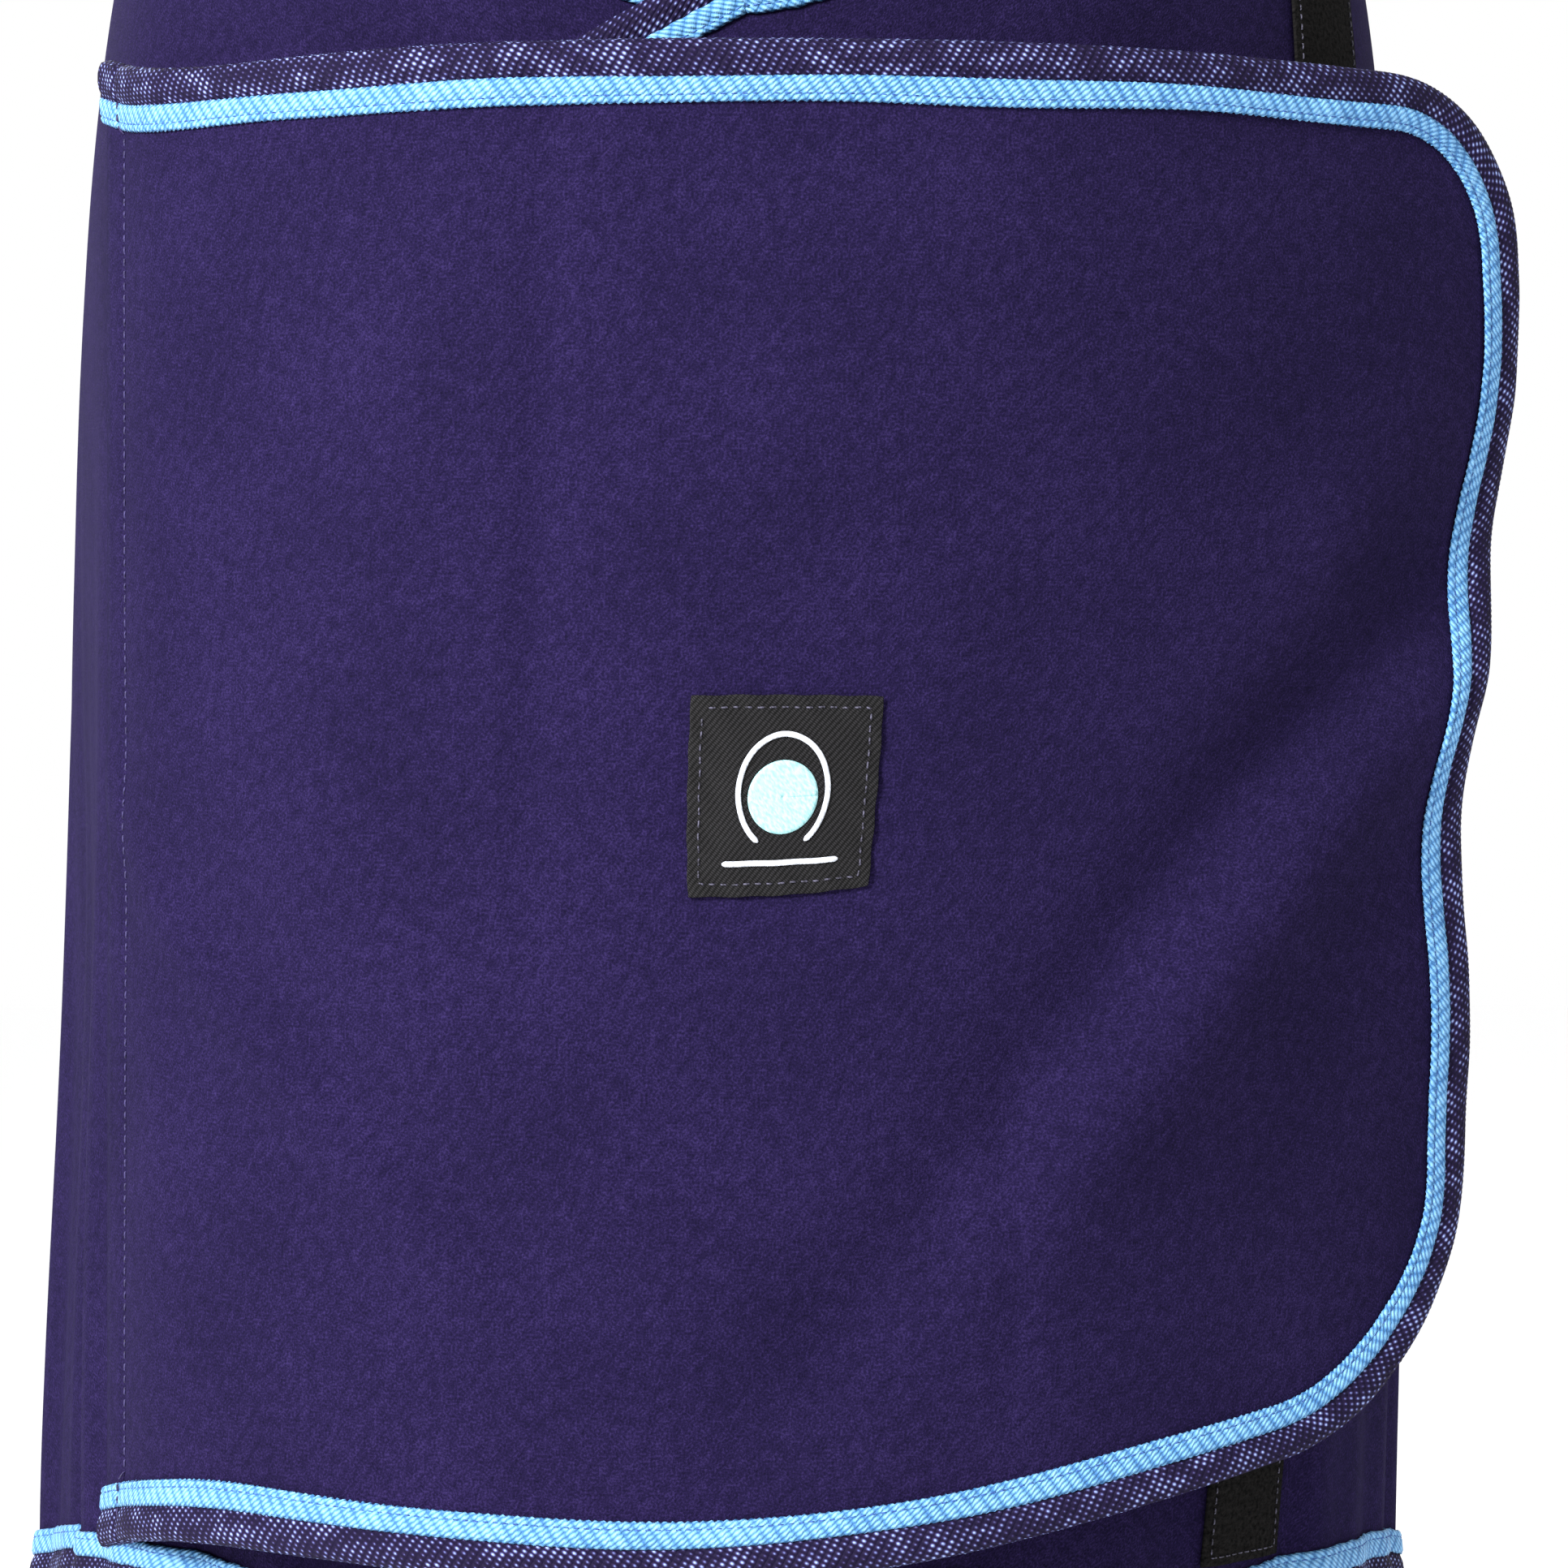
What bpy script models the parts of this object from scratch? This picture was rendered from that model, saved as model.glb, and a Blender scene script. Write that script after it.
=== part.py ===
"""Fleece turnout rug in the shape it takes on a horse, with a double-breasted chest, a chest flap, a tail flap
and two detachable cross surcingles.

The horse faces -Y and stands on no floor here: the origin is the withers, on the underside of the back seam,
+Y runs to the tail, +X is the horse's left side and +Z is up. Metres throughout.
"""

import math

import bmesh
import bpy
from mathutils import Matrix, Vector

# Cloth and tape, as bought
FLEECE = 0.003
TAPE = 0.001
TRIM = 0.0012
WEBBING = 0.002
LABEL = 0.0008
GAP = 0.0010
STATION = 0.026
FLAP_ROWS = (0, 0.125, 0.25, 0.375, 0.5, 0.625, 0.75, 0.875, 1)
FRONT_ROWS = (0, 0.03, 0.06, 0.1, 0.16, 0.24, 0.34, 0.46, 0.6, 0.76, 0.9, 0.96, 1)
BINDING_WIDTH = 0.0125
TRIM_WIDTH = 0.0075
SPINE_TAPE_WIDTH = 0.025

# The chest: two fronts that overlap, and the flap that is sewn over them
FRONT_HINGE = 3.3
CLOSURE_LIFT = 0.010
OVER_LAP = 0.098
UNDER_LAP = 0.085
NECK_SLOPE = math.tan(math.radians(28.0))
FRONT_CORNER = 0.040
HINGE_GAP = 0.004
CLOSURE_TAPE = (0.050, 0.36)
LOOP_STRIP_WIDTH = 0.040
LOOP_STRIP_LEAN = 0.10
LOOP_STRIP_ENDS = 0.005

FLAP_WIDTH = 0.566
FLAP_HEIGHT = 0.490
FLAP_TOP = -0.318
FLAP_TOP_CORNER = 0.060
FLAP_LOW_CORNER = 0.090
FLAP_SLANT = 0.045
FLAP_HEM_RISE = 0.038
FLAP_STRIP = (0.040, 0.40)
FLAP_STRIP_INSET = 0.008
LABEL_SIDE = 0.064
LABEL_AT = (0.292, -0.559)

# The tail flap
TAIL_FLAP_LENGTH = 0.50
TAIL_FLAP_HANG = 0.42
TAIL_FLAP_HALF = 0.168
TAIL_FLAP_SEAM = 11.45
TAIL_FLAP_CORNER = 0.06
TAIL_FLAP_LIFT = 0.0095
TAIL_FLAP_ROWS = (0, 0.045, 0.09, 0.18, 0.28, 0.39, 0.5, 0.61, 0.72, 0.82, 0.91, 0.955, 1)

# Surcingles
SURCINGLE_WIDTH = 0.040
SURCINGLE_ENDS = (0.33, 0.63)
SURCINGLE_DROP = 0.052
SURCINGLE_INSET = 0.0095
SURCINGLE_STRAIGHT = 0.095
SURCINGLE_SAG = (0.080, 0.106)
PATCH = (SURCINGLE_WIDTH + 0.030, 0.060)
PLATE = (SURCINGLE_WIDTH + 0.010, 0.036, 0.0025)
RAIL = 0.006
BAR_SLOT = 0.007
T_SLOT = (0.022, 0.010)
T_REACH = 0.010
NECK_RADIUS = 0.003
HEAD = (0.008, 0.019, 0.0025)
SLIDE = (0.0115, SURCINGLE_WIDTH + 0.010, 0.022)
SLIDE_TAIL = 0.080
SLIDE_DROP = 0.024
RING_WIDTH = 0.030
RING_DEPTH = 0.026
RING_WIRE = 0.004
WEB_CLEARANCE = 0.0005

# The rug's overall width and length. The ribs and the flap's run below are drawn on a body of these sizes, and
# stretch with them.
BODY_WIDTH = 0.600
BODY_LENGTH = 1.957
WIDE = BODY_WIDTH / 0.600
LONG = BODY_LENGTH / 1.957


def fitted(x, y, *z):
    return (x * WIDE, y * LONG, *z)


# Ribs of one half of the horse's body, from the middle of the chest back to the dock. Each runs from the neckline
# or spine (top), leaves it along "leave", is upright at its widest point for "rise", and hangs to the hem.
RIBS = [
    # top                       leave                    widest                   rise   hem
    ((0.000, -0.512, -0.285), (0.000, -0.006, -0.080), (0.000, -0.530, -0.550), 0.08, (0.000, -0.528, -0.832)),
    ((0.110, -0.480, -0.230), (0.010, -0.020, -0.090), (0.125, -0.506, -0.550), 0.10, (0.124, -0.504, -0.832)),
    ((0.172, -0.385, -0.172), (0.040, -0.030, -0.070), (0.210, -0.430, -0.550), 0.16, (0.209, -0.430, -0.835)),
    ((0.172, -0.262, -0.108), (0.070, -0.010, -0.060), (0.245, -0.285, -0.530), 0.20, (0.251, -0.290, -0.857)),
    ((0.118, -0.165, -0.034), (0.100, 0.000, -0.040), (0.258, -0.150, -0.500), 0.24, (0.262, -0.152, -0.892)),
    ((0.000, -0.100, 0.013), (0.150, 0.010, -0.010), (0.266, -0.020, -0.470), 0.26, (0.274, -0.010, -0.915)),
    ((0.000, 0.100, -0.011), (0.160, 0.000, 0.000), (0.283, 0.140, -0.450), 0.24, (0.287, 0.140, -0.928)),
    ((0.000, 0.370, -0.072), (0.175, 0.000, 0.000), (0.300, 0.385, -0.440), 0.22, (0.297, 0.385, -0.934)),
    ((0.000, 0.660, -0.066), (0.175, 0.000, 0.000), (0.298, 0.665, -0.430), 0.22, (0.292, 0.665, -0.940)),
    ((0.000, 0.920, -0.046), (0.170, 0.000, 0.000), (0.288, 0.920, -0.400), 0.22, (0.281, 0.920, -0.945)),
    ((0.000, 1.150, -0.084), (0.150, 0.000, 0.000), (0.268, 1.150, -0.410), 0.20, (0.262, 1.150, -0.950)),
    ((0.000, 1.325, -0.155), (0.120, 0.010, -0.005), (0.233, 1.335, -0.450), 0.18, (0.236, 1.330, -0.950)),
    ((0.000, 1.445, -0.262), (0.080, 0.020, -0.020), (0.158, 1.470, -0.500), 0.14, (0.178, 1.455, -0.945)),
]
RIBS = [(fitted(*top), fitted(*leave), fitted(*widest), rise, fitted(*hem)) for top, leave, widest, rise, hem in RIBS]
REAR = len(RIBS) - 1
WITHERS = 5
RIBS_V = 0.5

# The flap's run round the chest, seen from above, from its seam to its free edge
FLAP_PLAN = [
    (-0.2172, -0.4275), (-0.1925, -0.4745), (-0.1525, -0.5125), (-0.1000, -0.5415), (-0.0400, -0.5545),
    (0.0200, -0.5565), (0.0800, -0.5500), (0.1400, -0.5315), (0.1900, -0.5030), (0.2340, -0.4700),
    (0.2720, -0.4320),
]
FLAP_PLAN = [fitted(x, y) for x, y in FLAP_PLAN]

COLOURS = {
    "fleece": ((0.032, 0.022, 0.088), 0.95),
    "binding": ((0.030, 0.026, 0.060), 0.55),
    "trim": ((0.270, 0.580, 0.860), 0.55),
    "hook_and_loop": ((0.006, 0.006, 0.006), 0.95),
    "label": ((0.025, 0.025, 0.026), 0.60),
    "webbing": ((0.016, 0.014, 0.036), 0.65),
    "metal": ((0.62, 0.62, 0.64), 0.30),
    "plastic": ((0.010, 0.010, 0.012), 0.45),
}


# ---- curves and surfaces ----

def bezier(a, b, c, d, t):
    r = 1.0 - t
    return a * (r * r * r) + b * (3 * r * r * t) + c * (3 * r * t * t) + d * (t * t * t)


def through(points, at):
    """A smooth curve through points that stand one unit apart; at may run a little past either end."""
    i = min(max(int(math.floor(at)), 0), len(points) - 2)
    t = at - i
    b, c = points[i], points[i + 1]
    a = points[i - 1] if i > 0 else b + (b - c)
    d = points[i + 2] if i + 2 < len(points) else c + (c - b)
    return (b * 2 + (c - a) * t + (a * 2 - b * 5 + c * 4 - d) * t**2 + (b * 3 - a - c * 3 + d) * t**3) * 0.5


def interpolate(x, xs, ys):
    """Straight-line reading of ys at x, where xs rises."""
    for i in range(1, len(xs)):
        if x <= xs[i] or i == len(xs) - 1:
            share = (x - xs[i - 1]) / (xs[i] - xs[i - 1])
            return ys[i - 1] + (ys[i] - ys[i - 1]) * share


def smooth(t):
    t = min(max(t, 0.0), 1.0)
    return t * t * (3 - 2 * t)


def rib_point(rib, v):
    top, leave, widest, rise, hem = (Vector(p) if isinstance(p, tuple) else p for p in rib)
    if v < RIBS_V:
        return bezier(top, top + leave, widest + Vector((0, 0, rise)), widest, v / RIBS_V)
    fall = Vector((0, 0, (widest.z - hem.z) / 3))
    return bezier(widest, widest - fall, hem + fall, hem, (v - RIBS_V) / (1 - RIBS_V))


def body(u, v):
    """The horse-shaped surface, +X half: u counts ribs from the chest, v runs 0 at the top to 1 at the hem."""
    first = int(min(max(math.floor(u), 0), REAR - 1)) - 1
    row = []
    for i in range(first, first + 4):
        if i < 0:
            row.append(mirrored(rib_point(RIBS[-i], v)))
        elif i > REAR:
            row.append(row[-1] * 2 - row[-2])
        else:
            row.append(rib_point(RIBS[i], v))
    near_top = 1 - smooth(v / 0.3)
    if first == WITHERS - 2:
        row[3] = row[3].lerp(mirrored(row[1]), near_top * 0.35)
    if first == WITHERS - 1:
        row[0] = row[0].lerp(row[1] * 2 - row[2], near_top)
    return through(row, u - first)


def mirrored(p):
    return Vector((-p.x, p.y, p.z))


def body_lifted(u, v, lift):
    step = 0.004
    across = body(u + step, v) - body(u - step, v)
    down = body(u, v + step) - body(u, v - step)
    return body(u, v) + down.cross(across).normalized() * lift


def rounds():
    """Length round the chest at the widest line, for each u, so that a place can be given in metres."""
    us, lengths = [0.0], [0.0]
    last = body(0.0, RIBS_V)
    while us[-1] < WITHERS:
        us.append(us[-1] + 0.05)
        here = body(us[-1], RIBS_V)
        lengths.append(lengths[-1] + (here - last).length)
        last = here
    return us, lengths


ROUND_U, ROUND_S = rounds()


def chest(s, z, lift):
    """The chest surface at s metres round from the middle and height z, lift metres outside the cloth's middle.
    s below 0 is past the middle, on the other side."""
    u = interpolate(abs(s), ROUND_S, ROUND_U)
    low, high = -0.12, 1.12
    for _ in range(26):
        v = (low + high) / 2
        if body(u, v).z > z:
            low = v
        else:
            high = v
    p = body_lifted(u, v, lift)
    return mirrored(p) if s < 0 else p


def plan_lengths():
    points = [Vector((x, y, 0)) for x, y in FLAP_PLAN]
    ats, lengths = [0.0], [0.0]
    last = points[0]
    while ats[-1] < len(points) - 1:
        ats.append(ats[-1] + 0.05)
        here = through(points, ats[-1])
        lengths.append(lengths[-1] + (here - last).length)
        last = here
    return points, ats, lengths


PLAN, PLAN_AT, PLAN_S = plan_lengths()
FLAP_STRIP_S = FLAP_WIDTH - BINDING_WIDTH - TRIM_WIDTH - FLAP_STRIP[0] / 2 - FLAP_STRIP_INSET
FLAP_STRIP_Z = FLAP_TOP - FLAP_HEIGHT * 0.48


def flap(s, z, lift):
    """The flap, s metres from its sewn edge and at height z. Its free edge leans in towards the hem, and its hem
    climbs towards that edge."""
    down = (FLAP_TOP - z) / FLAP_HEIGHT
    share = s / FLAP_WIDTH
    s = s * (1 - FLAP_SLANT * down * share)
    z = z + FLAP_HEM_RISE * down * smooth((share - 0.5) / 0.5)
    at = interpolate(s, PLAN_S, PLAN_AT)
    place = through(PLAN, at)
    along = through(PLAN, at + 0.02) - through(PLAN, at - 0.02)
    out = along.cross(Vector((0, 0, 1))).normalized()
    return Vector((place.x, place.y, z)) + out * lift


def tail_flap(down, across, lift):
    """The tail flap, down metres from its seam on the rump and across metres from the middle. It follows the rump
    to the rug's end, then hangs."""

    def place(down, across):
        a = across / TAIL_FLAP_HALF
        on_rump = 0.085
        v = abs(a) * (0.22 + 0.14 * min(down / on_rump, 1.0))
        if down < on_rump:
            p = body_lifted(TAIL_FLAP_SEAM + (REAR - TAIL_FLAP_SEAM) * down / on_rump, v, TAIL_FLAP_LIFT)
            return mirrored(p) if a < 0 else p
        start = body_lifted(REAR, v, TAIL_FLAP_LIFT)
        along = (start - body_lifted(REAR - 0.05, v, TAIL_FLAP_LIFT)).normalized()
        if a < 0:
            start, along = mirrored(start), mirrored(along)
        end = Vector((across, RIBS[REAR][0][1] + 0.070 - 0.018 * a * a, RIBS[REAR][0][2] - TAIL_FLAP_HANG))
        share = (down - on_rump) / (TAIL_FLAP_LENGTH - on_rump)
        return bezier(start, start + along * 0.05, end + Vector((0, -0.002, 0.18)), end, share)

    step = 0.001
    wide = place(down, across + step) - place(down, across - step)
    long = place(down + step, across) - place(down - step, across)
    return place(down, across) + wide.cross(long).normalized() * lift


# ---- outlines ----

def neck_height(s):
    """Height of the neckline s metres round the chest; past the middle it runs on in a straight line."""
    if s <= 0:
        return RIBS[0][0][2] + s * NECK_SLOPE
    return body(interpolate(s, ROUND_S, ROUND_U), 0.0).z


def hem_height(s):
    return body(interpolate(abs(s), ROUND_S, ROUND_U), 1.0).z


def rounded(corners, steps=5):
    """A line through (x, y, radius) corners, each rounded by an arc of its radius."""
    path = []
    for i, (x, y, radius) in enumerate(corners):
        here = Vector((x, y))
        if not radius:
            path.append(here)
            continue
        back = (Vector(corners[i - 1][:2]) - here).normalized()
        ahead = (Vector(corners[i + 1][:2]) - here).normalized()
        half = math.acos(max(-1.0, min(1.0, back.dot(ahead)))) / 2
        centre = here + (back + ahead).normalized() * (radius / math.sin(half))
        start = here + back * (radius / math.tan(half)) - centre
        end = here + ahead * (radius / math.tan(half)) - centre
        turn = start.angle_signed(end)
        for k in range(steps + 1):
            path.append(centre + Matrix.Rotation(-turn * k / steps, 2) @ start)
    return path


def front_path(lap, edge):
    """The bound edge of one front, from the hinge line along the neckline, down the front and back along the hem."""
    count = round(edge / STATION)
    stops = [edge * (1 - i / count) for i in range(count + 1)]
    past = [-(lap - FRONT_CORNER) * i / 3 for i in (1, 2)]
    corners = [(s, neck_height(s), 0) for s in stops + past]
    corners.append((-lap, neck_height(-lap), FRONT_CORNER))
    corners.append((-lap, hem_height(-lap), FRONT_CORNER * 0.8))
    corners += [(s, hem_height(s), 0) for s in reversed(stops + past)]
    return with_rows(rounded(corners), -lap, FRONT_ROWS)


def flap_path():
    top, low = FLAP_TOP, FLAP_TOP - FLAP_HEIGHT
    straight = FLAP_WIDTH - max(FLAP_TOP_CORNER, FLAP_LOW_CORNER) - STATION / 4
    stops = [straight * i / 16 for i in range(17)]
    corners = [(s, top, 0) for s in stops]
    corners.append((FLAP_WIDTH, top, FLAP_TOP_CORNER))
    corners.append((FLAP_WIDTH, low, FLAP_LOW_CORNER))
    corners += [(s, low, 0) for s in reversed(stops)]
    return with_rows(rounded(corners), FLAP_WIDTH, FLAP_ROWS)


def inward(path, flip):
    """For each point of a path, the unit way in from the edge."""
    ways = []
    for i in range(len(path)):
        along = path[min(i + 1, len(path) - 1)] - path[max(i - 1, 0)]
        ways.append(Vector((along.y, -along.x)).normalized() * flip)
    return ways


def with_rows(path, free, shares):
    """The path, with the cloth's own rows marked on its straight free edge."""
    made = []
    for p, ahead in zip(path, path[1:] + path[-1:]):
        made.append(p)
        if abs(p.x - free) < 1e-6 and abs(ahead.x - free) < 1e-6 and (ahead - p).length > 1e-6:
            made += [p.lerp(ahead, share) for share in shares[1:-1]]
    return made


def columns(path, free, shares):
    """Chart points of the cloth inside a path: columns from the first point's side to the free edge, each with a
    point at every share of the way across."""
    edge = [i for i, p in enumerate(path) if abs(p.x - free) < 1e-6]
    top, low = path[: edge[0] + 1], path[edge[-1] :]
    low.reverse()
    sign = 1.0 if free > path[0].x else -1.0
    places = sorted({round(sign * p.x, 6) for p in top + low})
    kept = [places[0]]
    for x in places[1:]:
        if x - kept[-1] > 0.003:
            kept.append(x)
    kept[-1] = sign * free
    top_x, top_y = [sign * p.x for p in top], [p.y for p in top]
    low_x, low_y = [sign * p.x for p in low], [p.y for p in low]
    grid = []
    for x in kept:
        high, deep = interpolate(x, top_x, top_y), interpolate(x, low_x, low_y)
        grid.append([(sign * x, high + (deep - high) * share) for share in shares])
    return grid


# ---- objects ----

def clear_scene():
    for obj in list(bpy.data.objects):
        bpy.data.objects.remove(obj)


def make_collection(name):
    made = bpy.data.collections.new(name)
    bpy.context.scene.collection.children.link(made)
    return made


def make_materials():
    made = {}
    for name, (colour, roughness) in COLOURS.items():
        material = bpy.data.materials.new(name)
        material.use_nodes = True
        shader = material.node_tree.nodes["Principled BSDF"]
        shader.inputs["Base Color"].default_value = (*colour, 1.0)
        shader.inputs["Roughness"].default_value = roughness
        shader.inputs["Metallic"].default_value = 1.0 if name == "metal" else 0.0
        made[name] = material
    return made


def add_object(name, mesh, material):
    obj = bpy.data.objects.new(name, mesh)
    mesh.materials.append(MATERIALS[material])
    RUG.objects.link(obj)
    return obj


def cloth(name, rows, thickness, material):
    """A sheet through a grid of points, given its thickness evenly on both sides."""
    across = len(rows[0])
    points = [p for row in rows for p in row]
    faces = [
        (i * across + j, (i + 1) * across + j, (i + 1) * across + j + 1, i * across + j + 1)
        for i in range(len(rows) - 1)
        for j in range(across - 1)
    ]
    mesh = bpy.data.meshes.new(name)
    mesh.from_pydata(points, [], faces)
    mesh.shade_smooth()
    obj = add_object(name, mesh, material)
    solidify = obj.modifiers.new("thickness", "SOLIDIFY")
    solidify.thickness = thickness
    solidify.offset = 0.0
    solidify.use_even_offset = True
    return obj


def binding_section(curved):
    """The tape folded round a cloth's edge, as (distance in from the edge, lift) points. On a curved cloth it has a
    bend half way in and a little more room."""
    gap = GAP * 1.5 if curved else GAP
    lift = FLEECE / 2 + gap + TAPE / 2
    edge = -(gap + TAPE / 2)
    half = [BINDING_WIDTH, BINDING_WIDTH / 2, edge] if curved else [BINDING_WIDTH, edge]
    return [(d, lift) for d in half] + [(d, -lift) for d in reversed(half)]


def trim_section():
    lift = FLEECE / 2 + GAP + TRIM / 2
    start = BINDING_WIDTH + GAP
    return [(start, lift), (start + TRIM_WIDTH, lift)]


def edge_tape(name, places, section, thickness, material):
    """Tape along an edge: places are functions of (distance in, lift), one for each point along it."""
    return cloth(name, [[place(d, n) for d, n in section] for place in places], thickness, material)


def bind_edge(name, places, curved=False):
    edge_tape(name + "_binding", places, binding_section(curved), TAPE, "binding")
    edge_tape(name + "_trim", places, trim_section(), TRIM, "trim")


def chart_places(chart, path, flip):
    """Places along a path, each a function of (distance in, lift). At the path's two ends the tape is cut off
    square to the first axis, where it meets its neighbour or its seam."""
    ways = inward(path, flip)
    for i in (0, -1):
        ways[i] = Vector((0, 1 / ways[i].y))
    return [lambda d, n, p=p, w=w: chart(p.x + w.x * d, p.y + w.y * d, n) for p, w in zip(path, ways)]


def side_places(side, stops):
    """Places along a side's edge: stops are (u, v, du, dv), where du and dv are the signs of the way in."""
    found = []
    step = 0.002
    for u, v, du, dv in stops:
        back = (body(u - step, v) - body(u, v)) / step
        up = (body(u, v - step) - body(u, v)) / step
        square = back.cross(up).length
        across, down = du * up.length / square, dv * back.length / square
        if du and dv:
            across, down = du / back.length, dv / up.length

        def place(d, n, u=u, v=v, across=across, down=down):
            p = body_lifted(u + across * d, v + down * d, n)
            return Vector((side * p.x, p.y, p.z))

        found.append(place)
    return found


def ribbon(name, centres, widthways, width, thickness, material):
    rows = [[c - w * (width / 2), c + w * (width / 2)] for c, w in zip(centres, widthways)]
    return cloth(name, rows, thickness, material)


def box(size, centre, matrix=None):
    bm = bmesh.new()
    bmesh.ops.create_cube(bm, size=1.0)
    bmesh.ops.scale(bm, vec=size, verts=bm.verts)
    bmesh.ops.translate(bm, vec=centre, verts=bm.verts)
    if matrix:
        bmesh.ops.transform(bm, matrix=matrix, verts=bm.verts)
    return bm


def cylinder(radius, length, centre, matrix=None, sides=12):
    bm = bmesh.new()
    bmesh.ops.create_cone(
        bm, cap_ends=True, segments=sides, radius1=radius, radius2=radius, depth=length
    )
    bmesh.ops.translate(bm, vec=centre, verts=bm.verts)
    if matrix:
        bmesh.ops.transform(bm, matrix=matrix, verts=bm.verts)
    return bm


def mesh_of(name, bm):
    mesh = bpy.data.meshes.new(name)
    bm.to_mesh(mesh)
    bm.free()
    return mesh


def combine(obj, operation, bm):
    """Joins or cuts obj with a helper solid, which is hidden."""
    helper = bpy.data.objects.new(f"{obj.name}_{operation.lower()}", mesh_of("helper", bm))
    CUTTERS.objects.link(helper)
    helper.hide_render = True
    helper.display_type = "WIRE"
    modifier = obj.modifiers.new(operation.lower(), "BOOLEAN")
    modifier.operation = operation
    modifier.object = helper


# ---- the pieces ----

SIDE_START = interpolate(interpolate(FRONT_HINGE, ROUND_U, ROUND_S) + HINGE_GAP / 2, ROUND_S, ROUND_U)
SIDE_US = [SIDE_START, 3.6, 3.8, 4, 4.16, 4.32, 4.47, 4.6, 4.7, 4.8, 4.93] + [WITHERS + i / 2 for i in range(14)] + [REAR - 0.17, REAR]
SIDE_VS = [0, 0.015, 0.03, 0.06, 0.12, 0.2, 0.28, 0.36, 0.45, 0.56, 0.7, 0.85, 0.965, 1]


def make_sides():
    for side, word in ((-1, "right"), (1, "left")):
        rows = []
        for u in SIDE_US:
            seam = [GAP if u >= WITHERS and v == 0 else 0 for v in SIDE_VS]
            row = [body(u, v) for v in SIDE_VS]
            rows.append([Vector((side * (p.x + x), p.y, p.z)) for p, x in zip(row, seam)])
        cloth("side_" + word, rows, FLEECE, "fleece")
        neck = [u for u in SIDE_US if u < WITHERS]
        bind_edge("neck_" + word, side_places(side, [(u, 0, 0, 1) for u in neck]), True)
        hem = [(u, 1, 0, -1) for u in SIDE_US[:-1]] + [(REAR, 1, -1, -1)]
        rear = [(REAR, v, -1, 0) for v in reversed(SIDE_VS[5:-1])]
        bind_edge("hem_" + word, side_places(side, hem + rear))


def make_spine_tape():
    """Tape sewn along the inside of the back seam."""
    lift = -(FLEECE / 2 + 2 * GAP + TAPE / 2)
    rows = []
    for u in SIDE_US:
        if u > WITHERS and u < REAR:
            middle = body(u, 0.0)
            middle.z += lift
            edge = body_lifted(u, 0.045, lift)
            edge.x = SPINE_TAPE_WIDTH / 2
            rows.append([Vector((-edge.x, edge.y, edge.z)), middle, edge])
    cloth("spine_tape", rows, TAPE, "binding")


def front_chart(side, lift_at):
    def place(s, z, n):
        p = chest(s, z, n + lift_at(s))
        return Vector((side * p.x, p.y, p.z))

    return place


def over_lift(s):
    """The over front stands clear of the under front and comes down to it at the shoulder."""
    return CLOSURE_LIFT * (1 - smooth((s - 0.22) / 0.16))


def patch_on(name, chart, lines, centre, size, lift, thickness, material, down=8, across=1):
    """A flat piece sewn to a cloth: lines are the cloth's own columns, size is along and down, lift is its middle
    above the cloth's middle."""
    left, right = centre[0] - size[0] / 2, centre[0] + size[0] / 2
    stops = [left] + [s for s in lines if left + 0.003 < s < right - 0.003] + [right]
    if across > 1:
        stops = [left + (right - left) * i / across for i in range(across + 1)]
    rows = []
    for s in stops:
        rows.append([chart(s, centre[1] + size[1] * (0.5 - j / down), lift) for j in range(down + 1)])
    return cloth(name, rows, thickness, material)


def loop_strip_place():
    """How far round the chest the flap's hook strip lands when the flap is closed."""
    target = flap(FLAP_STRIP_S, FLAP_STRIP_Z, 0)
    stops = [0.10 + 0.001 * i for i in range(300)]
    return min(stops, key=lambda s: (chest(s, FLAP_STRIP_Z, over_lift(s)) - target).length)


def loop_strip_ends(middle):
    """Heights of the loop strip's two ends, clear of the tapes along the hem and the sloping neckline."""
    tapes = BINDING_WIDTH + GAP + TRIM_WIDTH + LOOP_STRIP_ENDS
    near = middle - LOOP_STRIP_WIDTH / 2
    low = hem_height(near + LOOP_STRIP_LEAN * (hem_height(near) - FLAP_STRIP_Z)) + tapes
    high = neck_height(near + LOOP_STRIP_LEAN * (neck_height(near) - FLAP_STRIP_Z)) - tapes * 1.3
    return low, high


def make_front(side, word, lap, lift):
    """One front with its edge tapes; returns its chart and the places of its columns."""
    chart = front_chart(side, lift)
    edge = interpolate(FRONT_HINGE, ROUND_U, ROUND_S) - HINGE_GAP / 2
    path = front_path(lap, edge)
    grid = columns(path, -lap, FRONT_ROWS)
    cloth("front_" + word, [[chart(s, z, 0) for s, z in row] for row in grid], FLEECE, "fleece")
    bind_edge("front_" + word, chart_places(chart, path, -1), True)
    return chart, sorted(row[0][0] for row in grid)


def make_fronts():
    lift = FLEECE / 2 + GAP + TAPE / 2
    over, over_lines = make_front(1, "over", OVER_LAP, over_lift)
    under, under_lines = make_front(-1, "under", UNDER_LAP, lambda s: 0.0)
    at = (-0.032, -0.58)
    patch_on("closure_hook_tape", over, over_lines, at, CLOSURE_TAPE, -lift, TAPE, "hook_and_loop")
    patch_on("closure_loop_tape", under, under_lines, at, CLOSURE_TAPE, lift, TAPE, "hook_and_loop")
    middle = loop_strip_place()
    low, high = loop_strip_ends(middle)

    def leaning(s, z, n):
        return over(s + LOOP_STRIP_LEAN * (z - FLAP_STRIP_Z), z, n)

    at, size = (middle, (low + high) / 2), (LOOP_STRIP_WIDTH, high - low)
    patch_on("flap_loop_strip", leaning, [], at, size, lift, TAPE, "hook_and_loop", 14, 4)


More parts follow.
